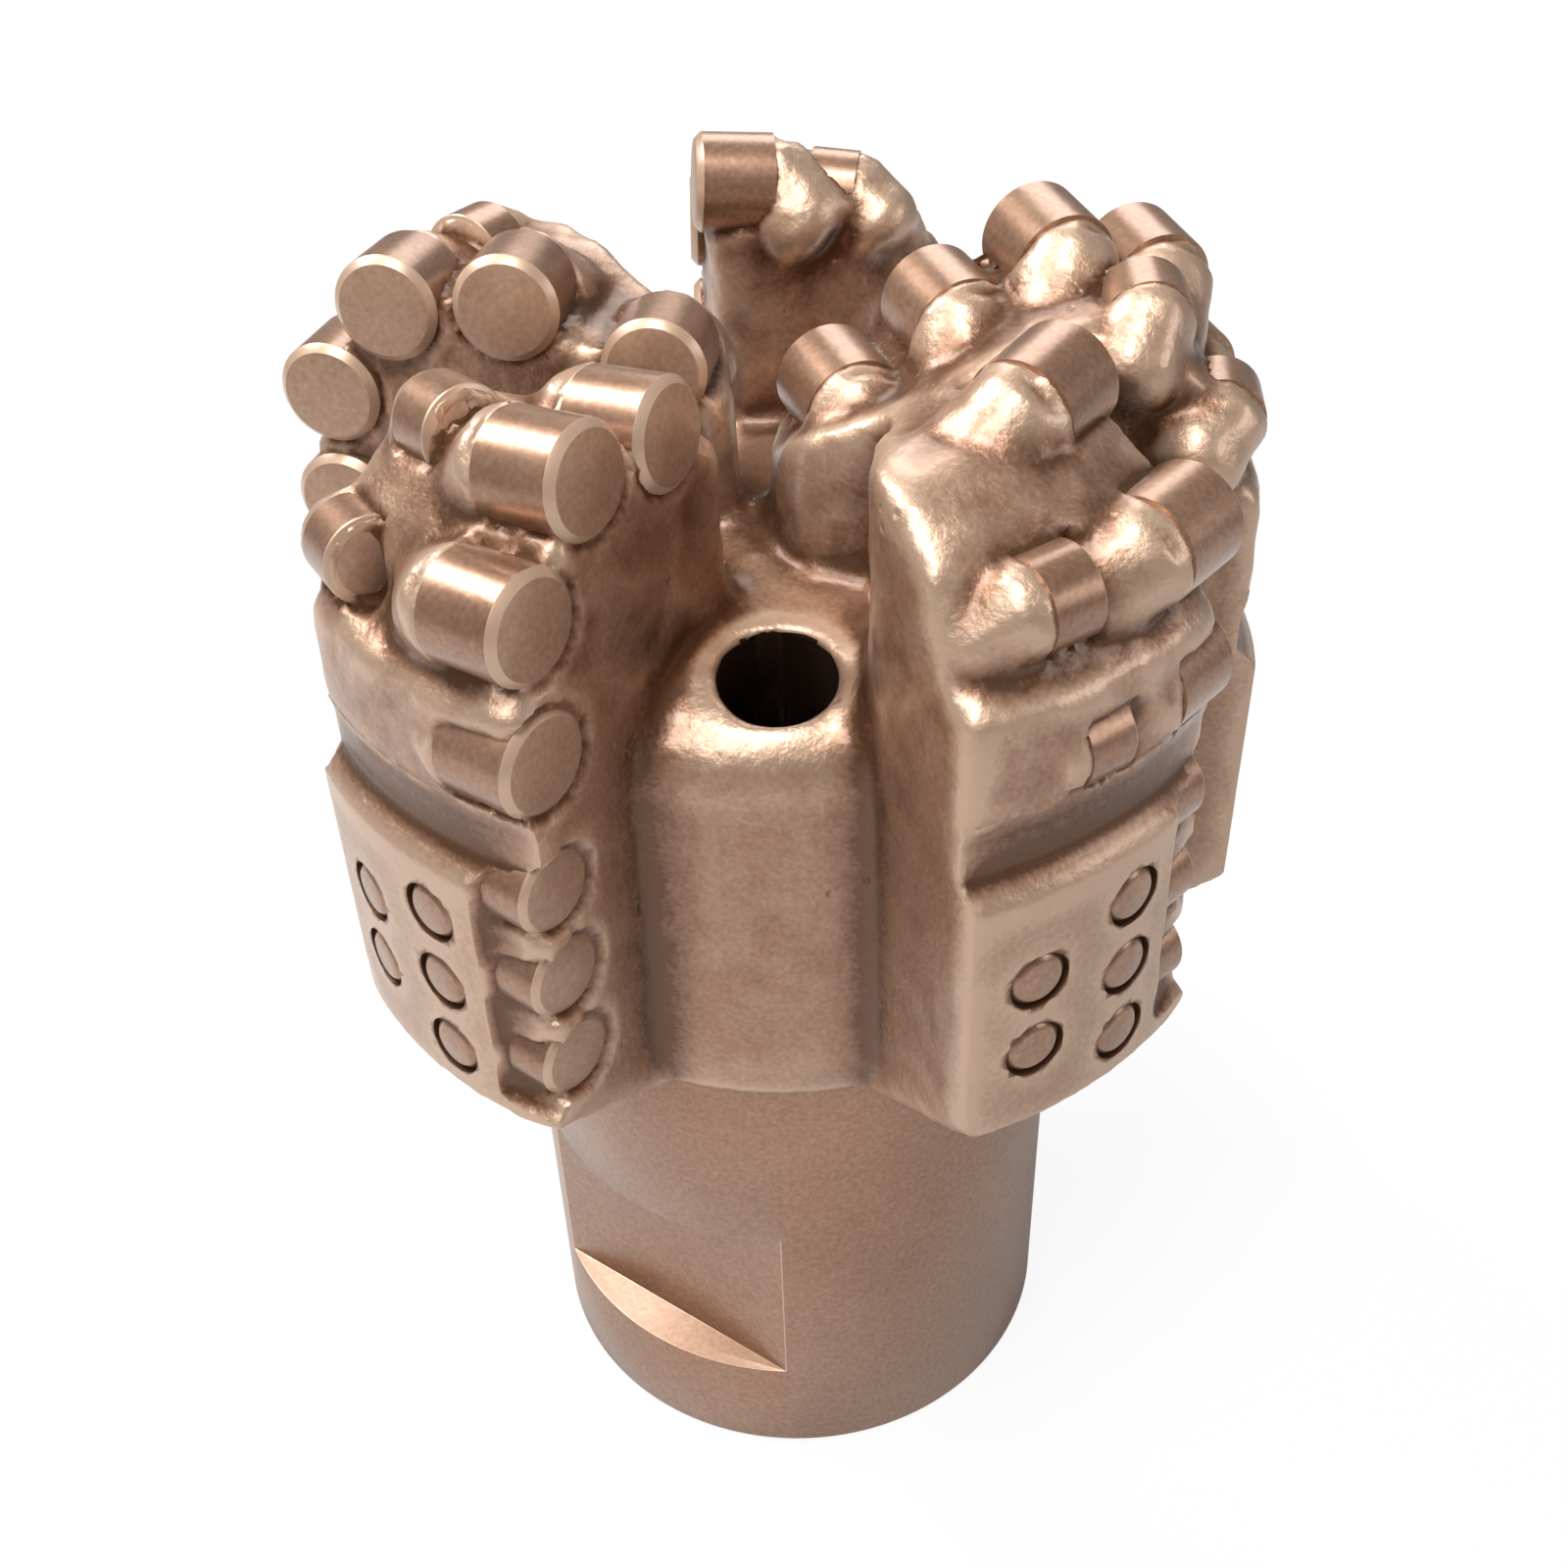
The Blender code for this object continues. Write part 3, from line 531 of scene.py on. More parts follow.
def paint_tone_group(paint):
    """Colour and roughness of the sprayed paint: clouds, painted highlights on ridges and painted
    shade in roots.
    """
    group, start, end = shader_group(
        "paint_tone",
        [("Relief", "NodeSocketFloat", 0.5), ("Cloud", "NodeSocketFloat", 40.0),
         ("Roughness", "NodeSocketFloat", 0.38)],
        [("Colour", "NodeSocketColor"), ("Roughness", "NodeSocketFloat")],
    )
    link = group.links.new
    place = add_node(group, "ShaderNodeTexCoord")
    clouds = add_node(group, "ShaderNodeTexNoise", Detail=5.0, Roughness=0.6)
    link(place.outputs["Object"], clouds.inputs["Vector"])
    link(start.outputs["Cloud"], clouds.inputs["Scale"])
    specks = add_node(group, "ShaderNodeTexNoise", Scale=1100.0, Detail=2.0)
    link(place.outputs["Object"], specks.inputs["Vector"])
    value = start.outputs["Relief"]
    for texture, share in ((clouds, 0.28), (specks, paint.speckle)):
        change = add_node(group, "ShaderNodeMath", operation="MULTIPLY_ADD")
        change.inputs[1].default_value = share
        change.inputs[2].default_value = -share / 2
        link(texture.outputs["Fac"], change.inputs[0])
        total = add_node(group, "ShaderNodeMath", operation="ADD")
        link(value, total.inputs[0])
        link(change.outputs[0], total.inputs[1])
        value = total.outputs[0]
    # The ramp runs from painted shade, through the paint's own colour, to painted highlight
    ramp = add_node(group, "ShaderNodeValToRGB")
    ramp.color_ramp.elements[0].position = 0.20
    ramp.color_ramp.elements[0].color = (*paint.painted_shade_colour, 1.0)
    ramp.color_ramp.elements[1].position = 0.86
    ramp.color_ramp.elements[1].color = (*paint.painted_highlight_colour, 1.0)
    middle = ramp.color_ramp.elements.new(0.50)
    middle.color = (*paint.colour, 1.0)
    link(value, ramp.inputs["Fac"])
    link(ramp.outputs["Color"], end.inputs["Colour"])
    rough = add_node(group, "ShaderNodeMath", operation="MULTIPLY_ADD")
    rough.inputs[1].default_value = 0.16
    link(clouds.outputs["Fac"], rough.inputs[0])
    link(start.outputs["Roughness"], rough.inputs[2])
    link(rough.outputs[0], end.inputs["Roughness"])
    return group


def turning_marks_group():
    """Height of fine rings left by turning, about the bit's axis."""
    group, start, end = shader_group(
        "turning_marks",
        [("Pitch", "NodeSocketFloat", 3000.0)],
        [("Height", "NodeSocketFloat")],
    )
    link = group.links.new
    place = add_node(group, "ShaderNodeTexCoord")
    stretch = add_node(group, "ShaderNodeMapping")
    stretch.inputs["Scale"].default_value = (0.02, 0.02, 1.0)
    rings = add_node(group, "ShaderNodeTexNoise", Detail=3.0, Roughness=0.7)
    link(place.outputs["Object"], stretch.inputs["Vector"])
    link(stretch.outputs["Vector"], rings.inputs["Vector"])
    link(start.outputs["Pitch"], rings.inputs["Scale"])
    link(rings.outputs["Fac"], end.inputs["Height"])
    return group


def groups():
    """The shared shader groups, built once."""
    paint = bpy.context.scene.bit_paint
    makers = {
        "cast_sand": cast_sand_group,
        "paint_tone": lambda: paint_tone_group(paint),
        "turning_marks": turning_marks_group,
    }
    for name, make in makers.items():
        if name not in bpy.data.node_groups:
            make()
    return {name: bpy.data.node_groups[name] for name in makers}


def use_group(tree, name, **values):
    """Place a shared group in a material."""
    made = tree.nodes.new("ShaderNodeGroup")
    made.node_tree = groups()[name]
    for key, value in values.items():
        made.inputs[key].default_value = value
    return made


def painted(
    name, roughness, cloud, height_group, height_values, strength, distance, relief=0.5
):
    """A painted material: the shared tone, and one shared group for its bumps."""
    if name in bpy.data.materials:
        return bpy.data.materials[name]
    material = bpy.data.materials.new(name)
    material.use_nodes = True
    tree = material.node_tree
    shader = tree.nodes["Principled BSDF"]
    shader.inputs["Metallic"].default_value = bpy.context.scene.bit_paint.metallic
    shader.inputs["Coat Weight"].default_value = bpy.context.scene.bit_paint.gloss
    shader.inputs["Coat Roughness"].default_value = 0.22
    tone = use_group(tree, "paint_tone", Cloud=cloud, Roughness=roughness, Relief=relief)
    tree.links.new(tone.outputs["Colour"], shader.inputs["Base Color"])
    tree.links.new(tone.outputs["Roughness"], shader.inputs["Roughness"])
    height = use_group(tree, height_group, **height_values)
    bump = add_node(tree, "ShaderNodeBump", Strength=strength, Distance=distance)
    tree.links.new(height.outputs["Height"], bump.inputs["Height"])
    tree.links.new(bump.outputs["Normal"], shader.inputs["Normal"])
    return material


def cast_paint():
    """Paint over the sand-cast crown, with painted shade in roots and painted highlights on ridges.
    """
    material = painted(
        "bronze_over_casting", roughness=0.34, cloud=45.0, height_group="cast_sand",
        height_values={"Grain": 1100.0, "Lump": 260.0, "Pits": 0.9}, strength=0.55,
        distance=0.6 * MILLIMETRE,
    )
    tree = material.node_tree
    # The stored attribute sets the painted shade in hollows and painted highlights on ridges
    if "relief" not in tree.nodes:
        relief = add_node(tree, "ShaderNodeAttribute", attribute_name="relief")
        relief.name = "relief"
        tone = next(item for item in tree.nodes if item.type == "GROUP" and "Relief" in item.inputs)
        tree.links.new(relief.outputs["Fac"], tone.inputs["Relief"])
    return material


def shank_paint():
    """Paint over the turned shank."""
    return painted(
        "bronze_over_steel", roughness=0.30, cloud=25.0, height_group="turning_marks",
        height_values={"Pitch": 2600.0}, strength=0.10, distance=0.2 * MILLIMETRE,
    )


def cutter_paint():
    """Paint over the ground cutters and buttons."""
    return painted(
        "bronze_over_cutters", roughness=0.26, cloud=60.0, height_group="cast_sand",
        height_values={"Grain": 1600.0, "Lump": 500.0, "Pits": 0.1}, strength=0.12,
        distance=0.3 * MILLIMETRE,
    )


def painted_face_highlight():
    """Even, lighter paint over the flat cutter faces and the shank's ledge, a painted highlight."""
    material = painted(
        "bronze_over_faces", roughness=0.42, cloud=90.0, height_group="cast_sand",
        height_values={"Grain": 2400.0, "Lump": 700.0, "Pits": 0.0}, strength=0.10,
        distance=0.2 * MILLIMETRE, relief=0.66,
    )
    shader = material.node_tree.nodes["Principled BSDF"]
    shader.inputs["Metallic"].default_value = 0.60
    return material


def painted_edge_highlight():
    """Light paint on chamfers and edges, a painted highlight."""
    material = painted(
        "bronze_over_edges", roughness=0.30, cloud=90.0, height_group="cast_sand",
        height_values={"Grain": 2400.0, "Lump": 700.0, "Pits": 0.0}, strength=0.10,
        distance=0.2 * MILLIMETRE, relief=0.95,
    )
    shader = material.node_tree.nodes["Principled BSDF"]
    shader.inputs["Metallic"].default_value = 0.45
    return material


def bare_bore():
    """Painted shade: a dark material for the walls deep in the ports."""
    name = "bare_bore"
    if name in bpy.data.materials:
        return bpy.data.materials[name]
    material = painted(
        name, roughness=0.55, cloud=60.0, height_group="cast_sand",
        height_values={"Grain": 900.0, "Lump": 300.0, "Pits": 0.4}, strength=0.4,
        distance=0.4 * MILLIMETRE,
    )
    tree = material.node_tree
    shader = tree.nodes["Principled BSDF"]
    tone = shader.inputs["Base Color"].links[0].from_node
    # Painted shade: the paint's tone multiplied down to near black
    darker = add_node(tree, "ShaderNodeMix", data_type="RGBA", blend_type="MULTIPLY")
    darker.inputs["Factor"].default_value = 1.0
    darker.inputs["B"].default_value = (0.10, 0.08, 0.07, 1.0)
    tree.links.new(tone.outputs["Colour"], darker.inputs[6])
    tree.links.new(darker.outputs[2], shader.inputs["Base Color"])
    return material


def grinding_ring():
    """What is ground off the crown: all outside the gauge, and the notch over each pad."""
    notch = GAUGE_RADIUS - NOTCH_DEPTH
    low = PAD_BOTTOM - OVERRUN
    top = PAD_TOP + NOTCH_HEIGHT
    outer = GAUGE_RADIUS + OVERRUN
    wall = [
        (GAUGE_RADIUS - NOTCH_LIP, top + NOTCH_LIP), (notch, top - NOTCH_DEPTH),
        (notch, PAD_TOP + NOTCH_DEPTH), (GAUGE_RADIUS, PAD_TOP),
        (GAUGE_RADIUS, low),
    ]
    fine = []
    for (r0, z0), (r1, z1) in zip(wall, wall[1:]):
        steps = max(1, round(abs(z1 - z0) / RING_ROW))
        fine += [(r0 + (r1 - r0) * n / steps, z0 + (z1 - z0) * n / steps) for n in range(steps)]
    profile = [(outer, low), (outer, top + NOTCH_LIP), *fine, wall[-1], (outer, low)]
    return turned(profile, RING_SEGMENTS)


def button_frames():
    """Frame of every gauge button on its pad, +Z outwards."""
    frames = []
    for angle in BLADE_ANGLES.values():
        for behind, heights in BUTTON_ROWS:
            for height in heights:
                turn = about_axis(angle + behind)
                origin = turn @ Vector((GAUGE_RADIUS, 0, height * MILLIMETRE))
                frames.append(looking_along(origin, turn @ Vector((1, 0, 0))))
    return frames


def port_frame(angle, radius, height):
    """Frame of a nozzle port at the middle of its mouth, +Z out of it."""
    tilt = radians(PORT_TILT)
    turn = about_axis(angle)
    mouth = turn @ Vector((radius * MILLIMETRE, 0, height * MILLIMETRE))
    return looking_along(mouth, turn @ Vector((sin(tilt), 0, cos(tilt))))


def inside_port(point, angle, radius, height):
    """Whether a point is within a nozzle port, deeper than its mouth, where shade is painted."""
    local = port_frame(angle, radius, height).inverted() @ point
    bore = Vector(local[:2]).length < PORT_RADIUS + 0.3 * MILLIMETRE
    return bore and -PORT_LENGTH < local.z < -UNSHADED_MOUTH


def port_shape(angle, radius, height):
    """Bore of a nozzle port with its small countersink."""
    tilt = radians(PORT_TILT)
    depth = (radius * MILLIMETRE - PORT_RADIUS) / tan(tilt)
    profile = (
        (0.0, OVERRUN), (PORT_RADIUS + PORT_LIP + OVERRUN / 4, OVERRUN),
        (PORT_RADIUS + PORT_LIP, PORT_LIP), (PORT_RADIUS, -PORT_LIP), (PORT_RADIUS, -depth),
        (0.0, -depth),
    )
    return moved(turned(profile, PORT_SEGMENTS), port_frame(angle, radius, height))


def read_points(mesh):
    """Points and normals of a mesh as arrays."""
    points = np.empty(len(mesh.vertices) * 3)
    normals = np.empty(len(mesh.vertices) * 3)
    mesh.vertices.foreach_get("co", points)
    mesh.vertex_normals.foreach_get("vector", normals)
    return points.reshape(-1, 3), normals.reshape(-1, 3)


def write_points(mesh, points):
    """Put an array of points back into a mesh."""
    mesh.vertices.foreach_set("co", points.reshape(-1))
    mesh.update()


def distance_to_cutters(points, frames):
    """How far each point is outside the nearest cutter."""
    nearest = np.full(len(points), 1.0)
    for place, radius, length in frames:
        local = (points - np.array(place.translation)) @ np.array(place.to_3x3())
        out = np.hypot(local[:, 0], local[:, 1]) - radius
        along = np.maximum(local[:, 2], -length - local[:, 2])
        outside = np.hypot(np.clip(out, 0, None), np.clip(along, 0, None))
        inside = np.minimum(np.maximum(out, along), 0)
        nearest = np.minimum(nearest, outside + inside)
    return nearest


def lumps(points, size, octaves):
    """Uneven noise at every point, about zero."""
    return np.array([noise.fractal(Vector(point) / size, 0.7, 2.0, octaves) for point in points])


def ground_radius(height):
    """Radius of the ground surface at a height: the pad, its ridge and the notch over it."""
    over = np.clip(height - PAD_TOP, 0, NOTCH_DEPTH)
    return GAUGE_RADIUS - over


def push_pads_out(mesh, extra):
    """Leave stock on the pads and in the notch over them, for the grinding to take off."""
    points, _ = read_points(mesh)
    radius = np.hypot(points[:, 0], points[:, 1])
    height = points[:, 2]
    band = (height > PAD_BOTTOM) & (height < PAD_TOP + NOTCH_HEIGHT)
    near = abs(radius - ground_radius(height)) < PAD_REACH
    grown = 1 + np.where(band & near, extra, 0) / radius.clip(0.01)
    points[:, :2] *= grown[:, None]
    write_points(mesh, points)


def narrow_skirt(mesh):
    """Draw the foot of the hub in, so that it runs into the shank."""
    points, _ = read_points(mesh)
    radius = np.hypot(points[:, 0], points[:, 1])
    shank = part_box(SHANK_NODE)[1][0]
    hub = (radius > shank - SKIRT_INSIDE) & (radius < shank + SKIRT_OUTSIDE)
    share = np.clip((SKIRT_TOP - points[:, 2]) / SKIRT_HEIGHT, 0, 1) ** 1.5
    wanted = np.minimum(radius, shank + FIT)
    narrowed = np.where(hub, radius + (wanted - radius) * share, radius)
    points[:, :2] *= (narrowed / radius.clip(0.001))[:, None]
    write_points(mesh, points)


def flow_braze(mesh, frames, crown):
    """Sink the skin under each bare cutter and raise an uneven lip of braze round it."""
    points, normals = read_points(mesh)
    away = distance_to_cutters(points, frames)
    taper = np.clip((crown.skin * 1.8 - away) / crown.skin, 0, 1)
    sink = np.clip(away + crown.skin, 0, SINK_LIMIT) * taper
    foot = np.clip((away - crown.skin) / crown.skin, 0, 1)
    lift = np.clip(1 - away / crown.lip_reach, 0, 1) ** 2 * foot
    near = lift > 0
    lift[near] *= np.clip(0.5 + 0.8 * lumps(points[near], BRAZE_PATCH, 2), 0, 1)
    pads = np.hypot(points[:, 0], points[:, 1]) > GAUGE_RADIUS - BRAZE_FREE_EDGE
    lift[pads] = 0
    points += normals * (lift * crown.lip - sink)[:, None]
    write_points(mesh, points)


def wave(mesh, depth):
    """Sink the casting by slow uneven waves."""
    points, normals = read_points(mesh)
    sunk = np.minimum(lumps(points, WAVE_LENGTH, 4) - 0.4, 0)
    over = np.clip((points[:, 2] - PAD_TOP - NOTCH_HEIGHT) / NOTCH_HEIGHT, 0, 1)
    points += normals * (sunk * depth * (1 + 1.6 * over))[:, None]
    write_points(mesh, points)


def store_painted_light(mesh, rounds, scale):
    """Keep how far each point stands out of its neighbourhood, as an attribute about 0.5: painted
    shade in hollows, painted highlights on ridges.
    """
    points, normals = read_points(mesh)
    count = len(points)
    pairs = np.empty(len(mesh.edges) * 2, dtype=np.int32)
    mesh.edges.foreach_get("vertices", pairs)
    pairs = pairs.reshape(-1, 2)
    ends = np.concatenate((pairs[:, 0], pairs[:, 1]))
    others = np.concatenate((pairs[:, 1], pairs[:, 0]))
    degree = np.maximum(np.bincount(ends, minlength=count), 1)
    soft = points.copy()
    for _ in range(rounds):
        soft = np.stack(
            [np.bincount(ends, soft[others, axis], count) / degree for axis in range(3)], axis=1
        )
    proud = ((points - soft) * normals).sum(axis=1)
    value = np.clip(0.5 + proud / scale, 0.0, 1.0)
    relief = mesh.attributes.new("relief", "FLOAT", "POINT")
    relief.data.foreach_set("value", value.astype(np.float32))


class BIT_OT_crown(bpy.types.Operator):
    """Cast the crown finely over its frame node, with braze lips, ports and button holes"""

    bl_idname = "bit.crown"
    bl_label = "Crown"

    def execute(self, context):
        crown = context.scene.bit_crown
        frames = [cutter_frame(name) for name in CUTTER_NODES]
        bare = [(place, radius, length - crown.cover) for place, radius, length in frames]
        piece = self.cast(crown, frames)
        wave(piece.data, crown.unevenness)
        narrow_skirt(piece.data)
        push_pads_out(piece.data, crown.grinding)
        flow_braze(piece.data, bare, crown)
        self.soften(piece, BRAZE_ROUNDS)
        cut(piece, [grinding_ring()])
        cut(piece, [self.button_hole(place) for place in button_frames()])
        cut(piece, [port_shape(*port) for port in PORTS])
        if len(piece.data.polygons) < FEWEST_FACES:
            raise RuntimeError("The crown lost its surface when it was cut")
        # Painted shade in the casting's hollows and painted highlights on its ridges
        store_painted_light(piece.data, PAINTED_LIGHT_ROUNDS, PAINTED_LIGHT_DEPTH)
        self.darken_ports(piece.data)
        shade(piece, CAST_EDGE_ANGLE)
        return {"FINISHED"}

    def cast(self, crown, frames):
        """Fill the pockets and grooves of the frame's crown and blend the whole."""
        solid = merged_copy(CROWN_NODE)
        fill = ((0.0, -GROOVE_FILL_DEPTH), (GROOVE_FILL_RADIUS, -GROOVE_FILL_DEPTH),
                (GROOVE_FILL_RADIUS, -FIT), (0.0, 0.0))
        for place in button_frames():
            join(solid, moved(turned(fill, 24), place))
        for place, radius, length in frames:
            ends = (-0.2 * MILLIMETRE, -length - 0.6 * MILLIMETRE)
            side = radius + FIT
            plug = ((0.0, ends[0]), (side, ends[0]), (side, ends[1]), (0.0, ends[1]))
            join(solid, moved(turned(plug, FILL_SEGMENTS), place))
            join(solid, self.backing(place, radius, length))
        piece = new_piece("crown_casting", solid, cast_paint(), (CROWN_NODE,))
        remesh = piece.modifiers.new("grain", "REMESH")
        remesh.mode = "VOXEL"
        remesh.voxel_size = crown.grain
        self.soften(piece, crown.smoothing)
        return piece

    def backing(self, place, radius, length):
        """Half-buried tail of casting that runs from a cutter's rear down into the blade."""
        axis = (place.to_3x3() @ Vector((0, 0, 1))).normalized()
        rear = place.translation - axis * length
        down = (BLADE_CORE - rear).normalized()
        down = (down - axis * down.dot(axis)).normalized()
        along = down * sin(TAIL_SLOPE) - axis * cos(TAIL_SLOPE)
        tail = (
            (0.0, -0.4 * radius), (0.98 * radius, -0.4 * radius), (1.12 * radius, 1.15 * radius),
            (0.9 * radius, 1.6 * radius), (0.0, 1.8 * radius),
        )
        return moved(turned(tail, FILL_SEGMENTS), looking_along(rear, along))

    def soften(self, piece, rounds):
        """Smooth the casting by a number of rounds."""
        smooth = piece.modifiers.new("smooth", "SMOOTH")
        smooth.iterations = rounds
        apply_modifiers(piece)

    def button_hole(self, place):
        """Bore of the hole round one gauge button."""
        hole = ((0.0, OVERRUN), (HOLE_RADIUS, OVERRUN), (HOLE_RADIUS, -HOLE_DEPTH),
                (0.0, -HOLE_DEPTH))
        return moved(turned(hole, BUTTON_SEGMENTS), place)

    def darken_ports(self, mesh):
        """Paint shade on the walls of the ports and of the plenum, with a dark material."""
        mesh.materials.clear()
        mesh.materials.append(cast_paint())
        mesh.materials.append(bare_bore())
        for polygon in mesh.polygons:
            for port in PORTS:
                if inside_port(polygon.center, *port):
                    polygon.material_index = 1


class BIT_OT_buttons(bpy.types.Operator):
    """Press a chamfered carbide button into every hole of the gauge pads"""

    bl_idname = "bit.buttons"
    bl_label = "Gauge buttons"

    def execute(self, context):
        profile = (
            (0.0, 0.0), (3.3 * MILLIMETRE, -0.02 * MILLIMETRE),
            (3.6 * MILLIMETRE, -0.12 * MILLIMETRE), (4.35 * MILLIMETRE, -0.75 * MILLIMETRE),
            (BUTTON_RADIUS, -1.0 * MILLIMETRE), (BUTTON_RADIUS, -BUTTON_LENGTH),
            (0.0, -BUTTON_LENGTH),
        )
        solid = bmesh.new()
        for place in button_frames():
            join(solid, moved(turned(profile, BUTTON_SEGMENTS), place))
        piece = new_piece("gauge_buttons", solid, cutter_paint())
        shade(piece, BUTTON_EDGE_ANGLE)
        return {"FINISHED"}


class BIT_OT_cutters(bpy.types.Operator):
    """Turn every cutter finely, with its chamfered face, in place of its frame node"""

    bl_idname = "bit.cutters"
    bl_label = "Cutters"

    def execute(self, context):
        cutters = context.scene.bit_cutters
        for name in CUTTER_NODES:
            place, radius, length = cutter_frame(name)
            chamfer = radius * cutters.chamfer
            face = (
                (0.0, 0.0), (radius - chamfer - CUTTER_EDGE, 0.0),
                (radius - chamfer, -CUTTER_EDGE / 3),
            )
            if name.startswith("backup"):
                face = [
                    (radius * share, -cutters.dome * share ** 2)
                    for share in (0.0, 0.2, 0.4, 0.6, 0.75, 0.85)
                ]
                chamfer = max(chamfer, cutters.dome * 1.1)
            profile = (
                *face, (radius - CUTTER_EDGE, CUTTER_EDGE - chamfer),
                (radius, -chamfer - CUTTER_EDGE / 2), (radius, -length), (0.0, -length),
            )
            solid = moved(turned(profile, cutters.segments), place)
            piece = new_piece(name + "_ground", solid, cutter_paint(), (name,))
            piece.data.materials.append(painted_face_highlight())
            piece.data.materials.append(painted_edge_highlight())
            # Flat faces take the lighter face paint and chamfer rings the light edge paint, both
            # painted highlights
            flat = (radius - chamfer) * 0.99
            for polygon in piece.data.polygons:
                local = place.inverted() @ polygon.center
                if local.z > -chamfer - CUTTER_EDGE / 2:
                    inner = Vector(local[:2]).length < flat
                    polygon.material_index = 1 if inner else 2
            shade(piece, TURNED_EDGE_ANGLE)
        return {"FINISHED"}


class BIT_OT_shank(bpy.types.Operator):
    """Turn the shank finely, with its socket and wrench flats, in place of its frame node"""

    bl_idname = "bit.shank"
    bl_label = "Shank"

    def execute(self, context):
        shank = context.scene.bit_shank
        edge = shank.edge
        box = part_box(SHANK_NODE)
        radius, top = box[1][0], box[1][2]
        profile = (
            (SOCKET_MOUTH_RADIUS, edge), (SOCKET_MOUTH_RADIUS + edge, 0.0),
            (radius - FOOT_CHAMFER, 0.0), (radius - edge / 3, FOOT_CHAMFER_MIDDLE),
            (radius, FOOT_CHAMFER_TOP), (radius, UNDER_HUB), (SPIGOT_RADIUS, UNDER_HUB),
            (SPIGOT_RADIUS, top), (BORE_RADIUS, top), (BORE_RADIUS, SOCKET_DEPTH + BORE_CONE),
            (SOCKET_END_RADIUS, SOCKET_DEPTH), (SOCKET_END_RADIUS, SOCKET_DEPTH - SOCKET_RELIEF),
            *self.thread(), (SOCKET_MOUTH_RADIUS, edge),
        )
        piece = new_piece(
            "shank_turned", turned(profile, shank.segments), shank_paint(),
            (SHANK_NODE,),
        )
        shapes = []
        for side in (-1, 1):
            block = bmesh.new()
            bmesh.ops.create_cube(block, size=1.0)
            size = Vector((3 * radius, OVERRUN, FLAT_TOP - FLAT_BOTTOM))
            bmesh.ops.scale(block, vec=size, verts=block.verts)
            middle = (0, side * (FLAT_DISTANCE + OVERRUN / 2), (FLAT_TOP + FLAT_BOTTOM) / 2)
            bmesh.ops.translate(block, vec=middle, verts=block.verts)
            shapes.append(block)
        cut(piece, shapes)
        bevel = piece.modifiers.new("edges", "BEVEL")
        bevel.width = edge * 0.8
        bevel.segments = 2
        bevel.angle_limit = radians(25)
        bevel.use_clamp_overlap = True
        # The bevelled edges take the light edge paint, a painted highlight
        bevel.material = 1
        piece.data.materials.append(painted_edge_highlight())
        piece.data.materials.append(painted_face_highlight())
        apply_modifiers(piece)
        # The flat's ledge takes the lighter face paint, a painted highlight
        for polygon in piece.data.polygons:
            if polygon.normal.z > 0.95 and abs(polygon.center.z - FLAT_BOTTOM) < MILLIMETRE:
                polygon.material_index = 2
        shade(piece, TURNED_EDGE_ANGLE)
        return {"FINISHED"}

    def thread(self):
        """Grooves of the socket's thread, as rings down its taper."""
        foot = SOCKET_DEPTH - SOCKET_RELIEF
        high = SOCKET_DEPTH - THREAD_CLEAR_END
        points = []
        for turn in range(int((high - THREAD_BOTTOM) / THREAD_PITCH)):
            start = high - turn * THREAD_PITCH
            for drop, depth in THREAD_GROOVE:
                z = start - drop * MILLIMETRE
                widening = SOCKET_MOUTH_RADIUS - SOCKET_END_RADIUS
                taper = SOCKET_END_RADIUS + widening * (foot - z) / foot
                points.append((taper + depth * THREAD_DEPTH, z))
        return points


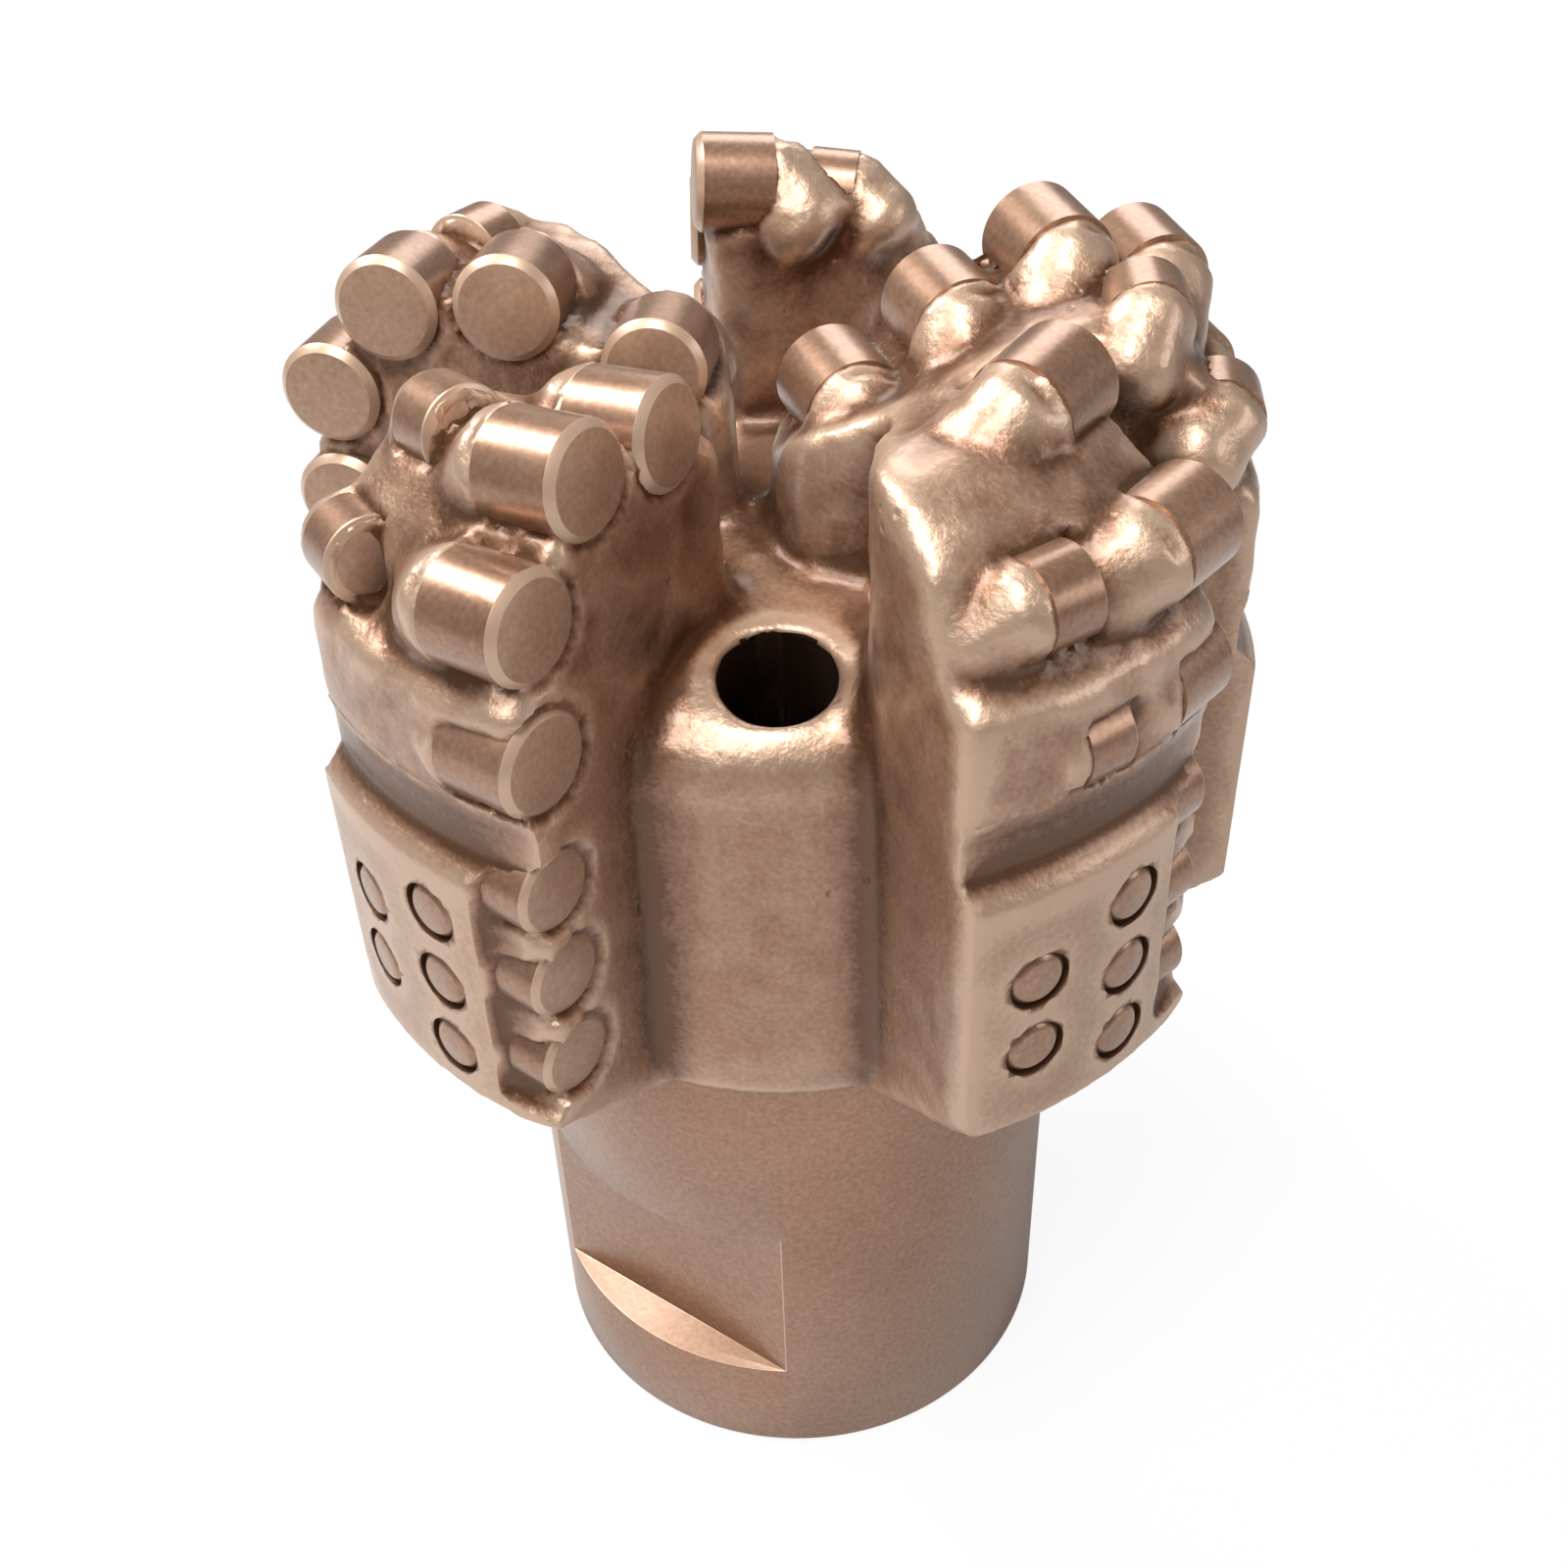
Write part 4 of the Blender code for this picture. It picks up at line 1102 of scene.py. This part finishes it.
class BIT_OT_stage(bpy.types.Operator):
    """Lay the floor, hang the lamps and set the camera"""

    bl_idname = "bit.stage"
    bl_label = "Stage"

    def execute(self, context):
        scene = context.scene
        stage = scene.bit_stage
        self.lay_floor(stage)
        self.light_world(scene, stage)
        for name, power, size, place in LAMPS:
            self.hang(name, getattr(stage, power), size, scene.bit_camera.turn, place)
        self.set_camera(scene)
        scene.view_settings.view_transform = "Standard"
        return {"FINISHED"}

    def lay_floor(self, stage):
        """Lay the floor, whiter to the camera the farther it is from the bit."""
        solid = bmesh.new()
        bmesh.ops.create_grid(solid, x_segments=1, y_segments=1, size=stage.floor_size / 2)
        mesh = bpy.data.meshes.new("floor")
        solid.to_mesh(mesh)
        solid.free()
        floor = bpy.data.objects.new("floor", mesh)
        bpy.context.scene.collection.objects.link(floor)
        material = bpy.data.materials.new("white_floor")
        material.use_nodes = True
        tree = material.node_tree
        shader = tree.nodes["Principled BSDF"]
        shader.inputs["Base Color"].default_value = (*stage.floor_colour, 1.0)
        shader.inputs["Roughness"].default_value = 0.9
        shader.inputs["Specular IOR Level"].default_value = 0.1
        glow = add_node(tree, "ShaderNodeEmission", Color=(1, 1, 1, 1), Strength=stage.floor_glow)
        path = add_node(tree, "ShaderNodeLightPath")
        place = add_node(tree, "ShaderNodeTexCoord")
        away = add_node(tree, "ShaderNodeVectorMath", operation="LENGTH")
        tree.links.new(place.outputs["Object"], away.inputs[0])
        white = add_node(tree, "ShaderNodeMapRange")
        white.inputs["From Min"].default_value = FLOOR_NEAR
        white.inputs["From Max"].default_value = FLOOR_FAR
        white.inputs["To Min"].default_value = stage.floor_white
        tree.links.new(away.outputs["Value"], white.inputs["Value"])
        share = add_node(tree, "ShaderNodeMath", operation="MULTIPLY")
        tree.links.new(white.outputs["Result"], share.inputs[1])
        mix = add_node(tree, "ShaderNodeMixShader")
        output = tree.nodes["Material Output"]
        tree.links.new(path.outputs["Is Camera Ray"], share.inputs[0])
        tree.links.new(share.outputs[0], mix.inputs["Fac"])
        tree.links.new(shader.outputs["BSDF"], mix.inputs[1])
        tree.links.new(glow.outputs["Emission"], mix.inputs[2])
        tree.links.new(mix.outputs["Shader"], output.inputs["Surface"])
        mesh.materials.append(material)

    def light_world(self, scene, stage):
        """Light everything evenly, and show the camera plain white."""
        world = bpy.data.worlds.new("studio")
        world.use_nodes = True
        scene.world = world
        tree = world.node_tree
        plain = tree.nodes["Background"]
        plain.inputs["Color"].default_value = (1, 1, 1, 1)
        plain.inputs["Strength"].default_value = stage.world_strength
        seen = add_node(tree, "ShaderNodeBackground", Color=(1, 1, 1, 1), Strength=1.0)
        path = add_node(tree, "ShaderNodeLightPath")
        mix = add_node(tree, "ShaderNodeMixShader")
        tree.links.new(path.outputs["Is Camera Ray"], mix.inputs["Fac"])
        tree.links.new(plain.outputs["Background"], mix.inputs[1])
        tree.links.new(seen.outputs["Background"], mix.inputs[2])
        tree.links.new(mix.outputs["Shader"], tree.nodes["World Output"].inputs["Surface"])

    def hang(self, name, power, size, turn, place):
        """Hang one square lamp, placed as the camera sees it, that points at the bit."""
        lamp = bpy.data.lights.new(name, "AREA")
        lamp.energy = power
        lamp.size = size
        hung = bpy.data.objects.new(name, lamp)
        bpy.context.scene.collection.objects.link(hung)
        spot = Matrix.Rotation(turn, 4, "Z") @ Vector(place)
        hung.matrix_world = looking_along(spot, spot - LAMP_AIM)

    def set_camera(self, scene):
        """Set the camera at the photo's angle."""
        settings = scene.bit_camera
        lens = bpy.data.cameras.new("camera")
        lens.sensor_width = 36
        lens.lens = settings.lens
        lens.clip_start = 0.01
        camera = bpy.data.objects.new("camera", lens)
        scene.collection.objects.link(camera)
        turn = Matrix.Rotation(settings.turn, 4, "Z")
        place = Matrix.Translation(turn @ Vector((0, -settings.distance, settings.height)))
        tip = Matrix.Rotation(pi / 2 - settings.pitch, 4, "X")
        lean = Matrix.Rotation(settings.roll, 4, "Z")
        camera.matrix_world = place @ turn @ tip @ lean
        scene.camera = camera


OPERATORS = (BIT_OT_stage, BIT_OT_shank, BIT_OT_crown, BIT_OT_buttons, BIT_OT_cutters)


class BIT_PT_panel(bpy.types.Panel):
    """Lists the pieces of the bit and their settings"""

    bl_label = "Drill bit"
    bl_idname = "BIT_PT_panel"
    bl_space_type = "VIEW_3D"
    bl_region_type = "UI"
    bl_category = "Drill bit"

    def draw(self, context):
        layout = self.layout
        for operator in OPERATORS:
            layout.operator(operator.bl_idname)
        for name, group in SETTINGS.items():
            box = layout.box()
            box.label(text=group.__doc__)
            for key in group.__annotations__:
                box.prop(getattr(context.scene, name), key)


def register():
    """Register the settings, operators and panel."""
    for name, group in SETTINGS.items():
        bpy.utils.register_class(group)
        setattr(bpy.types.Scene, name, PointerProperty(type=group))
    for operator in OPERATORS:
        bpy.utils.register_class(operator)
    bpy.utils.register_class(BIT_PT_panel)


def unregister():
    """Undo register."""
    bpy.utils.unregister_class(BIT_PT_panel)
    for operator in reversed(OPERATORS):
        bpy.utils.unregister_class(operator)
    for name, group in SETTINGS.items():
        delattr(bpy.types.Scene, name)
        bpy.utils.unregister_class(group)


def plain(box):
    """A box as plain lists of numbers."""
    return [[float(value) for value in corner] for corner in box]


def main():
    """Build the stage and every piece."""
    register()
    for operator in OPERATORS:
        group, name = operator.bl_idname.split(".")
        getattr(getattr(bpy.ops, group), name)()


if __name__ == "__main__":
    main()
